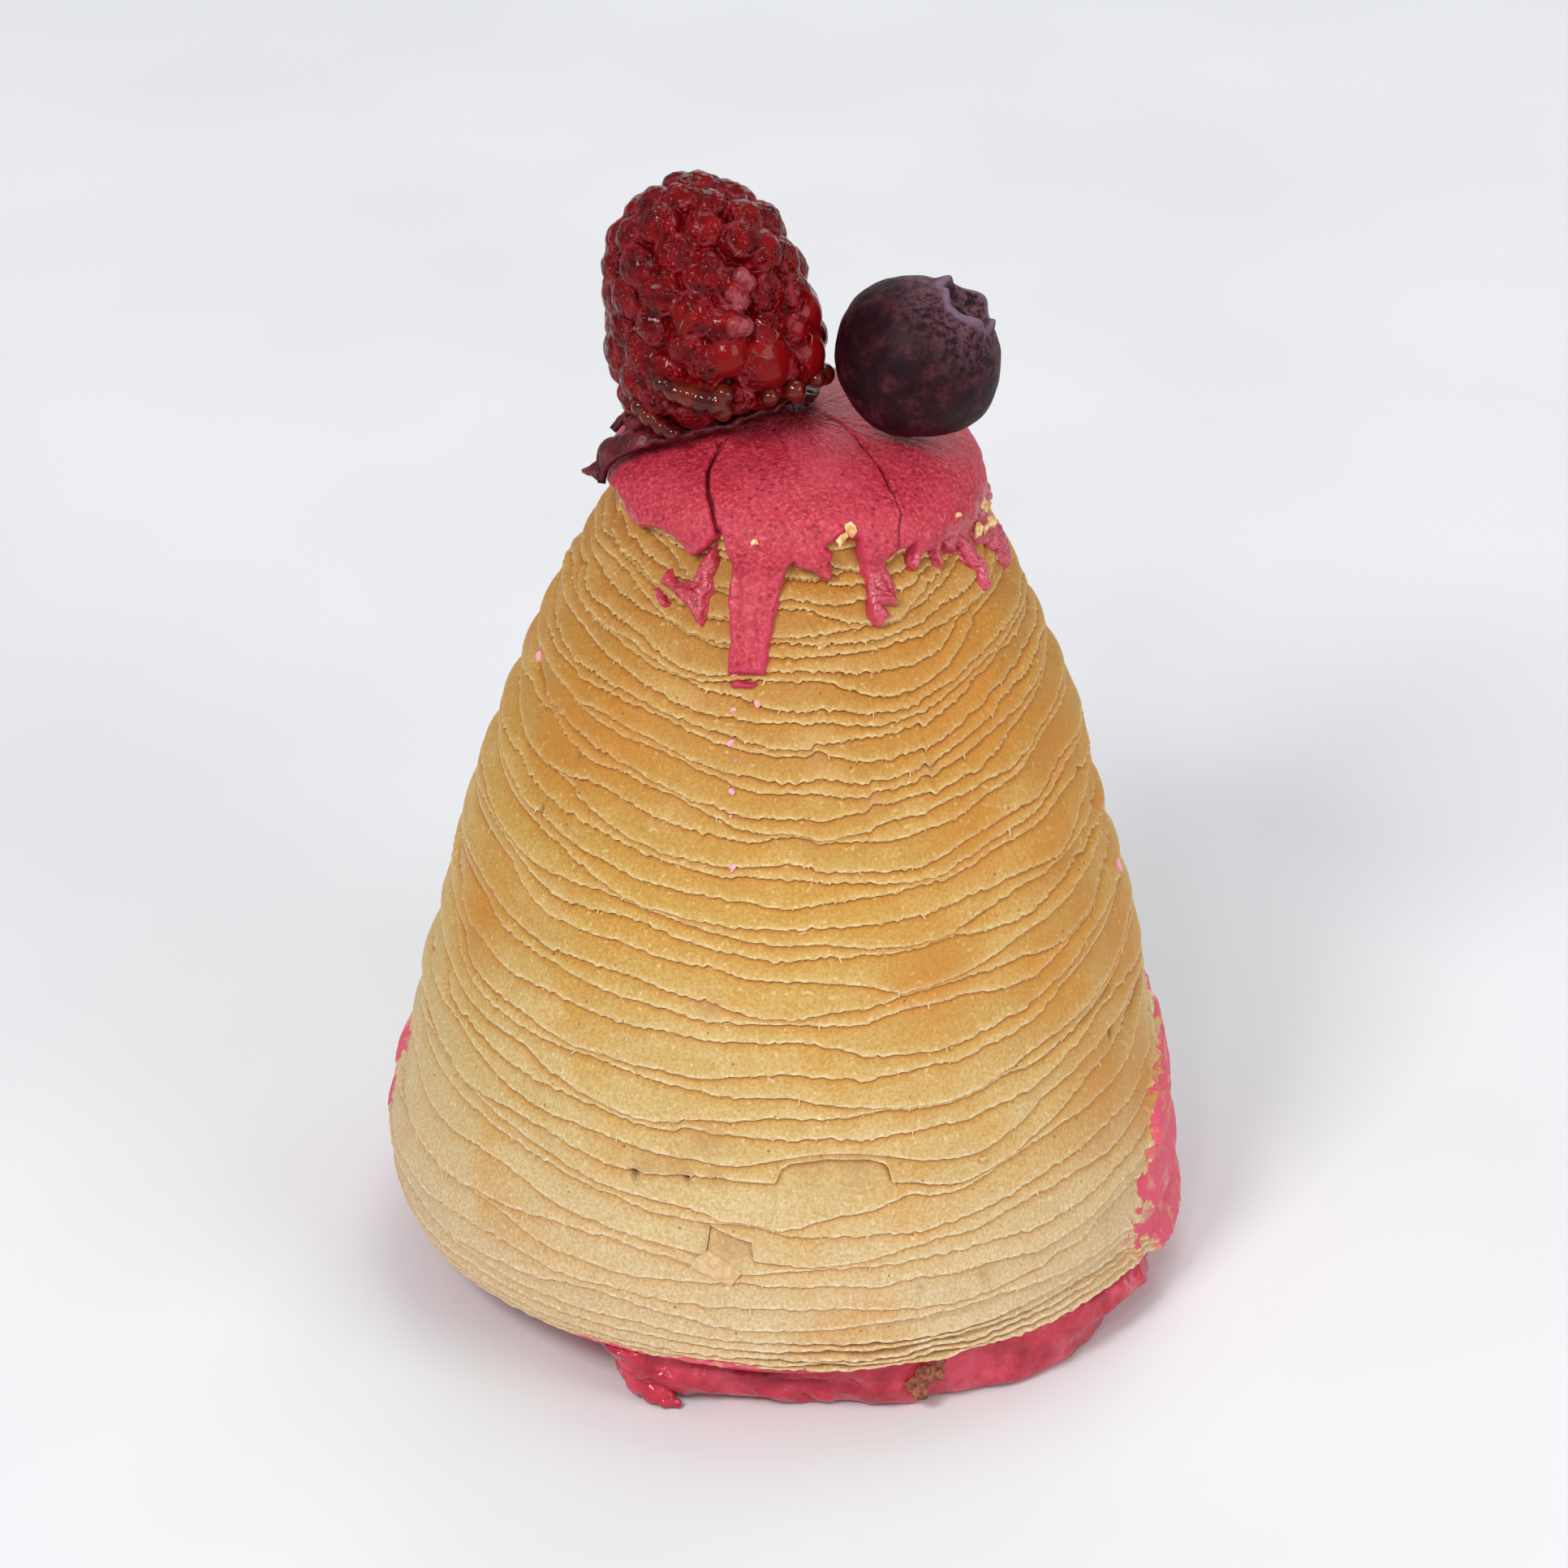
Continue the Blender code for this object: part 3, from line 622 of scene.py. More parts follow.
def leaf_edges(azimuth):
    """Return the height of each leaf's lower edge round the bell, a row a leaf from the top, and how
    far each stands out where it is torn."""
    sideways = np.sin(np.radians(azimuth)) ** 2
    rows = []
    for number, height in enumerate(leaf_heights()):
        spacing = along_knots(height, LEAF_SPACING)
        free = ease(height, LEAF_LOWEST - 0.5, 11)
        climb = LEAF_CLIMB * sideways * ease(height, 9, 22) * ease(-height, -79, -69)
        drift = 1.0 * ring_noise(azimuth, height, 16, 1) + 0.25 * ring_noise(azimuth, height, 6, 2)
        own = 0.95 * ring_noise(azimuth, 61 * number, 14, 3)
        own = own + 0.16 * ring_noise(azimuth, 37 * number, 3.6, 4)
        wander = free * (drift + spacing * own + seam_shift(azimuth, height))
        ragged = 0.12 * ring_noise(azimuth, 29 * number, 0.8, 5)
        ragged = ragged + 0.13 * ring_noise(azimuth, 31 * number, 0.4, 6)
        stack = 0.45 * loose_stack(azimuth, height) * ring_noise(azimuth, 11 * number, 3.0, 7)
        edge = height + climb + wander + ragged + stack
        if rows:
            edge = np.minimum(edge, rows[-1] - LEAF_LEAST)
        rows.append(edge)
    rows = np.array(rows)
    raised = 0 * rows
    for level, outline in TEARS:
        tear_leaf(rows, raised, azimuth, level, outline)
    return rows, raised


def tear_leaf(rows, raised, azimuth, level, outline):
    """Tear a piece off the leaf whose edge is at a level, up to an outline of azimuth and height."""
    places, heights = np.array(outline).T
    centre = places.mean()
    leaf = int(np.argmin(np.abs(rows[:, np.argmin(np.abs(azimuth - centre))] - level)))
    near = bump(azimuth, centre, 0.9 * np.ptp(places))
    rows[leaf] += (level - rows[leaf]) * near
    rows[leaf - 1] += (heights.max() + 0.3 - rows[leaf - 1]) * near
    rows[leaf + 1] += np.minimum(level - 1.5 - rows[leaf + 1], 0) * near
    torn = np.interp(azimuth, places, heights, left=0, right=0)
    rows[leaf] = np.maximum(rows[leaf], torn)
    raised[leaf] += 0.4 * bump(azimuth, centre, 0.7 * np.ptp(places))
    for upper in range(leaf - 1, -1, -1):
        rows[upper] = np.maximum(rows[upper], rows[upper + 1] + LEAF_LEAST)
    for lower in range(leaf + 1, len(rows)):
        rows[lower] = np.minimum(rows[lower], rows[lower - 1] - LEAF_LEAST)


def leaf_depth(azimuth, height):
    """Return how far a leaf's edge stands out over the next leaf."""
    facing = np.abs(np.cos(np.radians(azimuth))) ** 0.8
    depth = 0.1 + (0.2 + 0.14 * ease(height, 30, 60)) * facing + 0.14 * ring_noise(azimuth, height, 6, 8)
    return np.maximum(depth, 0.08) + 1.2 * loose_stack(azimuth, height)


def loose_stack(azimuth, height):
    """Return how loose the leaves are: 1 in the stack of separate leaves at the lower right, else 0."""
    return bump(azimuth, 20, 24) * (1 - ease(height, 8.8, 10.5))


def wall_bulge(azimuth, height):
    """Return the soft swelling of the wall: rounded bands at the sides, gentle waves elsewhere, all drawn
    in a little and most of all at the waist."""
    side = np.abs(np.sin(np.radians(azimuth))) ** 3
    band = np.abs(np.sin(np.pi * (height / BAND_HEIGHT + 0.4 * ring_noise(azimuth, height, 14, 9))))
    bands = (band ** 0.7 - 0.75) * (0.12 + 0.8 * side)
    waist = WAIST_DEPTH * hill(height, WAIST_HEIGHT, WAIST_SPREAD)
    return bands + 0.25 * ring_noise(azimuth, height, 9, 10) - WALL_DRAWN_IN - waist


def make_pastry():
    """Make the bell: leaves laid like shingles, each with a free ragged lower edge."""
    azimuth = column_azimuths()
    edges, raised = leaf_edges(azimuth)
    level = 0 * azimuth
    turn_rows = []
    rise = ICING_TOP - ICING_DEPTH - SHOULDER_HEIGHT
    top_radius = ICING_RADIUS - ICING_DEPTH - 1.5
    for share in (0.1, 0.5, 0.8):
        height = SHOULDER_HEIGHT + rise * dome(share, ICING_POWER) - 0.3
        turn_rows.append((share * top_radius + level, height + level, level, level, level))
    above = edges[0] + 0.9
    root_radius = leaf_radius(above) + wall_bulge(azimuth, above) - leaf_depth(azimuth, above)
    lips = []
    for edge, raise_edge in zip(edges, raised):
        reach = leaf_radius(edge) + wall_bulge(azimuth, edge) + 0.5 * raise_edge
        depth = leaf_depth(azimuth, edge) + raise_edge
        for share in LEAF_ROWS:
            height = above + 0.05 * (share == 0) + (edge + LEAF_EDGE - above) * share
            swell = depth * (0.2 - 0.85 * loose_stack(azimuth, edge)) * np.sin(np.pi * share)
            radius = root_radius + (reach - root_radius) * share + swell
            turn_rows.append((radius, height, above - height, height - edge, level))
        near = edge + np.minimum(2.6 * LEAF_EDGE, 0.45 * (above - edge))
        turn_rows.append((reach - 0.07, near, above - near, near - edge, level))
        turn_rows.append((reach, edge + 0.4 * (near - edge), above - edge, level, level + 1))
        turn_rows.append((reach - 0.02, edge, above - edge, level, level + 1))
        lips.append((reach, edge))
        above = edge
        root_radius = reach - depth
    for inset, height in UNDERSIDE_ROWS:
        turn_rows.append((bell_radius(RIM_HEIGHT) - inset + level, height + level, level, level, level))
    radius, height, below, over, lip = [np.array(rows) for rows in zip(*turn_rows)]
    across = azimuth + 0 * height
    mark = 0 * height
    stain_and_shade = 0 * height
    toast = 0 * height
    smear = 0 * height
    for dent in DENTS:
        near = spot(across, height, radius, *dent)
        radius = radius - DENT_DEPTH * near
        mark = np.maximum(mark, near)
    for place in STAINS_AND_TEAR_SHADE:
        stain_and_shade = np.maximum(stain_and_shade, spot(across, height, radius, *place, 0.8))
    for place in TOASTED:
        toast = np.maximum(toast, spot(across, height, radius, *place))
    ragged = 0.22 * ring_noise(across, height, 5.0, 11) + 0.14 * ring_noise(across, height, 1.6, 12)
    for centre, half_width, place, half_height, thickness in SMEARS:
        away = np.hypot(apart(across, centre) / half_width, (height - place) / half_height)
        inside = ease(1 - away + ragged, 0, 0.16)
        radius = radius + thickness * inside
        smear = np.maximum(smear, inside)
    x, y, z = settle(across, radius, height)
    obj = closed_turning("flaky_bell", x, y, z)
    obj.data.set_sharp_from_angle(angle=math.radians(50))
    # below and over hold the millimetres under the leaf above and above the leaf's own lip; they set the
    # painted shade and the painted highlight, and lip marks the edge rows that get the painted highlight.
    names = ("below", "over", "lip", "mark", "stain_and_shade", "toast", "smear")
    for name, values in zip(names, (below, over, lip, mark, stain_and_shade, toast, smear)):
        set_attribute(obj, name, values)
    finish_piece(obj, pastry_material(), "pastry", "pastry")
    make_threads(azimuth, lips)


def join_loops(sheet, under, over):
    """Join two loops of vertices by a band of quads."""
    for k in range(len(under)):
        n = (k + 1) % len(under)
        sheet.faces.new((under[k], under[n], over[n], over[k]))


def close_loop(sheet, loop, middle):
    """Close a loop of vertices by triangles to its middle."""
    for k in range(len(loop)):
        sheet.faces.new((loop[k], loop[(k + 1) % len(loop)], middle))


def add_strand(sheet, points, thickness):
    """Add a strand along points, thinning to its end, to a bmesh; all in millimetres."""
    rings = []
    for i, (point, following) in enumerate(zip(points, points[1:])):
        along = (following - point).normalized()
        first = along.orthogonal().normalized()
        second = along.cross(first)
        size = thickness * (1 - i / len(points))
        turns = [2 * math.pi * k / STRAND_SIDES for k in range(STRAND_SIDES)]
        ring = [point + size * (math.cos(turn) * first + math.sin(turn) * second) for turn in turns]
        rings.append([sheet.verts.new(corner) for corner in ring])
    tip = sheet.verts.new(points[-1])
    sheet.faces.new(list(reversed(rings[0])))
    for ring, following in zip(rings, rings[1:]):
        join_loops(sheet, ring, following)
    close_loop(sheet, rings[-1], tip)


def sheet_object(name, sheet):
    """Make an object from a bmesh that is in millimetres."""
    bmesh.ops.scale(sheet, vec=(MM, MM, MM), verts=sheet.verts)
    mesh = bpy.data.meshes.new(name)
    sheet.to_mesh(mesh)
    sheet.free()
    mesh.shade_smooth()
    return add_object(name, mesh)


def make_threads(azimuth, lips):
    """Make the fine threads of dough that hang from the leaves' torn edges."""
    rng = np.random.default_rng(70)
    sheet = bmesh.new()
    for _ in range(THREADS):
        reach, edge = lips[rng.integers(5, len(lips) - 5)]
        column = rng.integers(0, len(azimuth))
        start = Vector(settle(azimuth[column], reach[column] - 0.08, edge[column] + 0.08))
        turn = math.radians(azimuth[column])
        out = Vector((math.sin(turn), -math.cos(turn), 0))
        side = Vector((-out.y, out.x, 0)) * rng.normal(0, 0.5)
        length = float(rng.choice(THREAD_LENGTHS, p=THREAD_SHARES) * rng.uniform(0.7, 1.2))
        middle = start + length * (0.5 * side + Vector((0, 0, -0.5)) + 0.3 * out)
        end = start + length * (side + Vector((0, 0, -1.0)) + rng.uniform(0, 0.3) * out)
        add_strand(sheet, [start, middle, end], rng.uniform(0.05, 0.08))
    obj = sheet_object("lip_threads", sheet)
    shader = Shader("dry_threads")
    mottling, grain = shader.noise(2.0, 2), shader.noise(0.3, 2)
    material = shader.two_tone(mottling, (240, 220, 184), (226, 190, 134), 0.6, grain, 0.05)
    finish_piece(obj, material, "pastry")


def pastry_material():
    """Baked dough: pale below, golden higher up, with a dry grain, painted shade under each lip and a painted
    highlight on it.
    """
    shader = Shader("baked_leaves")
    level = shader.math("DIVIDE", shader.height(), 80 * MM)
    base = shader.tones(
        level, (0.08, 226, 206, 168), (0.2, 226, 203, 158), (0.34, 222, 193, 134), (0.6, 214, 176, 100),
        (0.88, 202, 155, 84), (1.0, 198, 150, 82),
    )
    base = shader.tint(base, 220, 164, 76, shader.range(shader.noise(12, 2), 0.5, 0.7), 0.45)
    paler = shader.range(shader.noise(8, 2, 0.5, (1.0, 1.0, 1.3)), 0.5, 0.7)
    base = shader.tint(base, 236, 214, 168, paler, 0.4)
    base = shader.tint(base, 208, 146, 52, shader.attribute("toast"), 0.7)
    # Painted shade: golden-brown under each leaf's lip, darkest just below it and fading over about a
    # millimetre.
    below = shader.attribute("below")
    golden = shader.range(level, 0.12, 0.4, 0.35, 1.0)
    base = shader.tint(base, 214, 156, 66, golden, shader.range(below, 0.2, 1.2, 0.6, 0.0))
    base = shader.tint(base, 182, 118, 44, golden, shader.range(below, 0.1, 0.5, 0.7, 0.0))
    # Painted highlight: paler towards each leaf's own lip, and paler still, in broken patches, along the lip
    # itself.
    near_lip = shader.range(shader.attribute("over"), 0.1, 0.9, 0.45, 0.0)
    base = shader.tint(base, 236, 208, 152, near_lip, golden)
    lip_highlight_breaks = shader.range(shader.noise(0.8, 2), 0.4, 0.62, 0.2, 0.9)
    base = shader.tint(base, 248, 232, 200, shader.attribute("lip"), lip_highlight_breaks)
    grain = shader.noise(0.3, 2, 0.75)
    dry = shader.ramp(grain, ((0.34, (0.8, 0.66, 0.42, 1.0)), (0.66, (1.0, 1.0, 1.0, 1.0))))
    base = shader.mix(1.0, base, dry, "MULTIPLY")
    base = shader.tint(base, 242, 224, 184, shader.range(shader.noise(0.5, 1), 0.66, 0.74, 0.0, 0.45))
    baked = shader.ramp(level, (
        (0.15, (0.89, 0.885, 0.96, 1.0)), (0.34, (0.875, 0.905, 0.93, 1.0)),
        (0.6, (0.865, 0.84, 0.69, 1.0)), (0.88, (0.785, 0.705, 0.535, 1.0)),
    ))
    base = shader.mix(1.0, base, baked, "MULTIPLY")
    base = shader.tint(base, 196, 128, 48, shader.attribute("toast"), 0.4)
    base = shader.tint(base, 134, 84, 34, shader.range(shader.cells(2.3), 0.035, 0.075, 0.8, 0.0))
    uneven = shader.range(shader.noise(1.1, 3, 0.6), 0.3, 0.6, 0.3, 0.75)
    # Brown stains, with painted shade inside the tears.
    base = shader.tint(base, 178, 130, 78, shader.attribute("stain_and_shade"), uneven)
    base = shader.tint(base, 84, 38, 18, shader.range(shader.attribute("mark"), 0.1, 0.8, 0.0, 0.9))
    film = shader.range(shader.noise(2.2, 4, 0.6), 0.34, 0.5, 0.55, 1.0)
    torn = shader.range(shader.noise(0.9, 3), 0.3, 0.7, -0.4, 0.4)
    frayed = shader.math("ADD", shader.attribute("smear"), torn)
    base = shader.tint(base, 214, 84, 106, shader.range(frayed, 0.42, 0.56), film)
    normal = shader.bump(shader.noise(1.6, 3, 0.6), 0.25, 0.5)
    normal = shader.bump(grain, 0.14, 0.6, normal)
    shader.set(Base_Color=base, Roughness=shader.range(grain, 0.3, 0.7, 0.5, 0.72), Normal=normal)
    shader.set(Specular_IOR_Level=0.3)
    shader.set(Subsurface_Weight=0.2, Subsurface_Radius=(1.0, 0.6, 0.25), Subsurface_Scale=0.5 * MM)
    return shader.material


def polyline_distance(x, y, points):
    """Return the distance from places to a line through points."""
    nearest = np.full(np.shape(x), 1e9)
    for start, end in zip(points, points[1:]):
        along = (end[0] - start[0], end[1] - start[1])
        length = max(along[0] ** 2 + along[1] ** 2, 1e-9)
        t = np.clip(((x - start[0]) * along[0] + (y - start[1]) * along[1]) / length, 0, 1)
        away = np.hypot(x - start[0] - t * along[0], y - start[1] - t * along[1])
        nearest = np.minimum(nearest, away)
    return nearest


def outline_distance(across, height, outline):
    """Return the distance in millimetres inside a closed outline, negative outside."""
    corners = np.array(outline, dtype=float) * (MM_PER_DEGREE, 1.0)
    corners = np.vstack((corners, corners[:1]))
    u = across * MM_PER_DEGREE
    inside = np.zeros(u.shape, dtype=bool)
    for start, end in zip(corners, corners[1:]):
        if start[1] != end[1]:
            crosses = (height < start[1]) != (height < end[1])
            share = (height - start[1]) / (end[1] - start[1])
            inside ^= crosses & (u < start[0] + share * (end[0] - start[0]))
    nearest = polyline_distance(u, height, corners)
    return np.where(inside, nearest, -nearest)


def back_edge(azimuth):
    """Return the height of the icing's edge round the back."""
    turn = np.radians(azimuth)
    edge = ICING_EDGE - 0.8 + 0.5 * np.sin(5 * turn + 0.5) + 0.3 * np.sin(11 * turn)
    for centre, half_width, tip in BACK_DRIPS:
        edge = edge + (tip - edge) * np.exp(-np.abs(apart(azimuth, centre) / half_width) ** 3.2)
    return edge


def icing_outline():
    """Return the closed outline of the icing, with some of each end repeated past the other."""
    round_back = [(azimuth, float(back_edge(azimuth))) for azimuth in np.arange(92.0, 269.0, 1.5)]
    whole = list(FRONT_EDGE) + round_back
    before = [(azimuth - 360, height) for azimuth, height in whole[-20:]]
    after = [(azimuth + 360, height) for azimuth, height in whole[:8]]
    return before + whole + after + [(after[-1][0], 95.0), (before[0][0], 95.0)]


def make_icing():
    """Make the icing: a cap whose skirt runs down in drips, thick at the edge and cracked on top."""
    path_distance, path_radius, path_height = icing_path()
    distance = np.concatenate((np.arange(0.3, 10, 0.33), np.arange(10, path_distance[-1], 0.13)))
    azimuth = np.arange(ICING_COLUMNS) * 360 / ICING_COLUMNS - 90
    down, across = np.meshgrid(distance, azimuth, indexing="ij")
    radius = np.interp(down, path_distance, path_radius)
    height = np.interp(down, path_distance, path_height)
    growths = []
    for values in (path_radius, path_height):
        before, after = [np.interp(down + step, path_distance, values) for step in (-0.2, 0.2)]
        growths.append(np.abs(after - before))
    length = np.hypot(*growths)
    normal_height, normal_radius = growths[0] / length, growths[1] / length
    smooth_drip = bump(across, -11, 9)
    shifted = across + (0.9 - 0.7 * smooth_drip) * ring_noise(across, height, 0.9, 20, 17)
    lifted = height + 0.16 * ring_noise(across, height, 0.8, 21, 17)
    inside = outline_distance(shifted, lifted, icing_outline())
    for island in ISLANDS:
        inside = np.maximum(inside, outline_distance(shifted, lifted, island) - 0.05)
    rounding = np.sqrt(1 - (1 - np.clip(inside / ICING_ROUNDING, 0, 1)) ** 2)
    skirt = ease(-height, -78.5, -74.0)
    full = ICING_DEPTH - 0.3 * skirt * (1 - ease(inside, 0.6, 1.6))
    lumps = 0.2 * ring_noise(across, height, 1.3, 22, 17) + 0.1 * ring_noise(across, height, 0.5, 23, 17)
    wet = skirt * (1 - smooth_drip) * (0.4 + 0.6 * ease(ring_noise(across, height, 4, 24, 17), -0.5, 0.05))
    depth = full * rounding + lumps * (0.25 + 1.4 * wet) * rounding
    depth = np.where(inside < 0, 4.5 * inside, depth)
    depth = np.maximum(depth, -1.3)
    x, y = around(across, radius)
    crack = 0 * x
    for points, half_width, deep in CRACKS:
        away = polyline_distance(x + 0.12 * space_noise(x, y, 0 * x, 1.2, 25), y, points)
        groove = hill(away, 0, half_width)
        depth = depth - deep * groove + CRACK_LIP * hill(away, 2.1 * half_width, half_width)
        crack = np.maximum(crack, groove)
    depth = depth + 0.12 * space_noise(x, y, height, 3.5, 26) * (1 - skirt)
    offset = depth - ICING_DEPTH
    radius = radius + normal_radius * offset
    height = height + normal_height * offset
    points = np.stack((*around(across, radius), height), axis=-1).reshape(-1, 3)
    faces = np.array(ring_faces(*x.shape))
    keep = (inside.ravel()[faces] > -0.26).any(axis=1)
    top = len(points)
    points = np.vstack((points, (0, 0, ICING_TOP)))
    cap = [(top, j, (j + 1) % ICING_COLUMNS) for j in range(ICING_COLUMNS)]
    obj = build_mesh("pink_icing", points, faces[keep].tolist() + cap)
    set_attribute(obj, "wet", wet)
    set_attribute(obj, "crack", crack)
    set_attribute(obj, "rim", 1 - ease(inside, 0.15, 0.7))
    close_underneath(obj)
    finish_piece(obj, icing_material(), "icing", "icing_cap")


def close_underneath(obj):
    """Drop loose points and close a sheet's open edges inside the pastry."""
    sheet = bmesh.new()
    sheet.from_mesh(obj.data)
    bmesh.ops.delete(sheet, geom=[v for v in sheet.verts if not v.link_faces], context="VERTS")
    border = [edge for edge in sheet.edges if edge.is_boundary]
    grown = bmesh.ops.extrude_edge_only(sheet, edges=border)["geom"]
    for vertex in (item for item in grown if isinstance(item, bmesh.types.BMVert)):
        vertex.co.x *= 0.85
        vertex.co.y *= 0.85
    bmesh.ops.holes_fill(sheet, edges=[edge for edge in sheet.edges if edge.is_boundary])
    sheet.to_mesh(obj.data)
    sheet.free()


def icing_material():
    """Raspberry icing: matte and mottled with pinholes, wet where it ran, dark in the cracks."""
    shader = Shader("pink_glaze")
    fine = shader.noise(0.36, 3, 0.7)
    base = shader.tones(fine, (0.31, 142, 14, 34), (0.5, 182, 38, 56), (0.69, 214, 88, 104))
    base = shader.tint(base, 200, 66, 84, shader.range(shader.noise(4, 2), 0.35, 0.7, 0.0, 0.35))
    holes = shader.range(shader.cells(0.85), 0.12, 0.32, 1.0, 0.0)
    holes = shader.times(holes, shader.range(shader.noise(4.5, 2), 0.42, 0.54))
    base = shader.tint(base, 132, 10, 28, holes, 0.7)
    base = shader.tint(base, 208, 60, 98, shader.attribute("rim"), 0.5)
    wet = shader.attribute("wet")
    base = shader.tint(base, 176, 32, 58, wet, 0.35)
    base = shader.tint(base, 112, 8, 22, shader.range(shader.attribute("crack"), 0.25, 0.8))
    normal = shader.bump(fine, 0.16, 0.6)
    normal = shader.bump(shader.math("SUBTRACT", 1.0, holes), 0.12, 0.6, normal)
    normal = shader.bump(shader.times(shader.noise(0.9, 2), wet), 0.8, 0.9, normal)
    roughness = shader.range(wet, 0.1, 0.7, 0.5, 0.1)
    shader.set(Base_Color=base, Roughness=roughness, Normal=normal)
    shader.set(Specular_IOR_Level=shader.range(wet, 0.2, 0.7, 0.4, 1.0))
    shader.set(Subsurface_Weight=0.12, Subsurface_Radius=(1.0, 0.3, 0.3), Subsurface_Scale=0.6 * MM)
    return shader.material


def foot_profile():
    """Return radius and height of the foot's outer side, from the rim down to the table."""
    turn = np.radians(np.linspace(90, 0, 26))
    bulge = bell_radius(RIM_HEIGHT) - COAT_TUCK - FOOT_RADIUS
    return FOOT_RADIUS + bulge * np.sin(turn), RIM_HEIGHT * (1 - np.cos(turn))


def make_foot():
    """Make the foot: a lumpy coat of icing below the bell, with a thick blob at the front left."""
    azimuth = np.arange(0, 360, 0.7)
    side_radius, side_height = foot_profile()
    bottom = [(side_radius[-1] * share, 0.0) for share in (0.97, 0.85, 0.4)]
    rows = np.array([*FOOT_TOP, *zip(side_radius, side_height), *bottom])
    radius, height = [column[:, None] + 0 * azimuth for column in rows.T]
    across = azimuth + 0 * height
    outer = ease(radius, 28.0, 29.2) * (1 - ease(height, 6.4, 7.0))
    lumps = 0.8 * ring_noise(across, height, 3.2, 30) + 0.45 * ring_noise(across, height, 1.3, 31)
    lumps = (lumps + 0.12 * ring_noise(across, height, 0.6, 32)) * (1 - 0.6 * bump(across, 45, 32))
    blob = BLOB_DEPTH * bump(across, BLOB_AZIMUTH + 3, 0.7 * BLOB_SPREAD) * ease(height, -0.5, 1.0)
    hollow = FOOT_HOLLOW * bump(across, -9, 7) * ease(height, 3.6, 5.2)
    groove = 0.8 * bump(across, -2, 11) * hill(height, 3.3, 0.8)
    spread = sum(reach * bump(across, centre, width) for reach, centre, width in FOOT_SPREADS)
    under_rim = 3.2 * bump(across, 66, 14) * ease(height, 2.2, 4.2)
    radius = radius + outer * (lumps - 0.3 + blob - hollow - groove + spread + under_rim)
    x, y, z = settle(across, radius, height)
    obj = closed_turning("foot_icing", x, y, np.maximum(z, 0))
    # This mask paints shade into the hollow and the groove.
    set_attribute(obj, "deep", outer * np.clip(hollow / FOOT_HOLLOW + 0.6 * groove, 0, 1))
    finish_piece(obj, foot_material(), "icing", "base_coating")
    finish_piece(melted_balls("foot_blob", BLOB, 0.16, 0.25), foot_material(), "icing")
    finish_piece(melted_balls("brown_crumb", BROWN_CRUMB, 0.12, 0.35), crumb_material(), "pastry")


def melted_balls(name, balls, voxel, roughness):
    """Melt balls, each x, y, z and a radius in millimetres, into one lumpy object."""
    sheet = bmesh.new()
    for x, y, z, size in balls:
        bmesh.ops.create_icosphere(sheet, subdivisions=3, radius=size, matrix=Matrix.Translation((x, y, z)))
    obj = sheet_object(name, sheet)
    melt = obj.modifiers.new("melt", "REMESH")
    melt.mode = "VOXEL"
    melt.voxel_size = voxel * MM
    soften = obj.modifiers.new("soften", "SMOOTH")
    soften.iterations = 6
    apply_modifiers(obj)
    points = np.empty(len(obj.data.vertices) * 3, dtype=np.float32)
    normals = np.empty(len(obj.data.vertices) * 3, dtype=np.float32)
    obj.data.vertices.foreach_get("co", points)
    obj.data.vertices.foreach_get("normal", normals)
    x, y, z = points.reshape(-1, 3).T / MM
    lumps = roughness * (space_noise(x, y, z, 1.4, 33) + 0.4 * space_noise(x, y, z, 0.5, 34))
    points = points + normals * np.repeat(lumps * MM, 3)
    obj.data.vertices.foreach_set("co", points.astype(np.float32))
    obj.data.update()
    obj.data.shade_smooth()
    return obj


def crumb_material():
    """A rough brown crumb."""
    shader = Shader("brown_crumb_surface")
    mottling = shader.noise(0.7, 3, 0.6)
    base = shader.tones(mottling, (0.35, 82, 30, 22), (0.5, 138, 70, 44), (0.7, 182, 112, 74))
    shader.set(Base_Color=base, Roughness=0.5, Normal=shader.bump(shader.noise(0.5, 3), 0.3))
    return shader.material


def foot_material():
    """The foot's icing: wet and glossy, from bright pink to dark red, with painted shade in its hollow and
    groove.
    """
    shader = Shader("wet_glaze")
    mottling = shader.noise(3.4, 3, 0.6)
    base = shader.tones(mottling, (0.3, 150, 24, 42), (0.5, 186, 46, 66), (0.7, 208, 76, 96))
    # Painted shade in the hollow and the groove.
    base = shader.tint(base, 104, 6, 26, shader.range(shader.attribute("deep"), 0.1, 0.8))
    normal = shader.bump(shader.noise(1.1, 2, 0.5), 0.5, 0.6)
    roughness = shader.range(shader.noise(2.5, 2), 0.4, 0.6, 0.12, 0.4)
    shader.set(Base_Color=base, Roughness=roughness, Normal=normal, Specular_IOR_Level=0.4)
    return shader.material


def raspberry_frame():
    """Return the matrix in millimetres from the raspberry's own axes, its tip up and its front towards -Y."""
    base = Vector(RASPBERRY_BASE)
    axis = (Vector(RASPBERRY_TIP) - base).normalized()
    right = Vector((0, 1, 0)).cross(axis)
    turn = Matrix((right, axis.cross(right), axis)).transposed().to_4x4()
    return Matrix.Translation(base) @ turn


def raspberry_path():
    """Return height and radius down the raspberry's outline, from the tip to the base."""
    heights, radii = np.array(RASPBERRY_OUTLINE[::-1]).T
    steps = np.append(0.0, np.cumsum(np.hypot(np.diff(heights), np.diff(radii))))
    along = np.linspace(0, steps[-1], RASPBERRY_ROWS)
    return smooth_curve(along, tuple(zip(steps, heights))), smooth_curve(along, tuple(zip(steps, radii)))


def on_raspberry(azimuth, height):
    """Return a place on the raspberry's outline and the way out of it, in its own axes."""
    heights, radii = raspberry_path()
    below, radius, over = np.interp((0.2 - height, -height, -0.2 - height), -heights, radii)
    turn = math.radians(azimuth)
    place = Vector((radius * math.sin(turn), -radius * math.cos(turn), height))
    out = Vector((0.4 * math.sin(turn), -0.4 * math.cos(turn), below - over)).normalized()
    return place, out


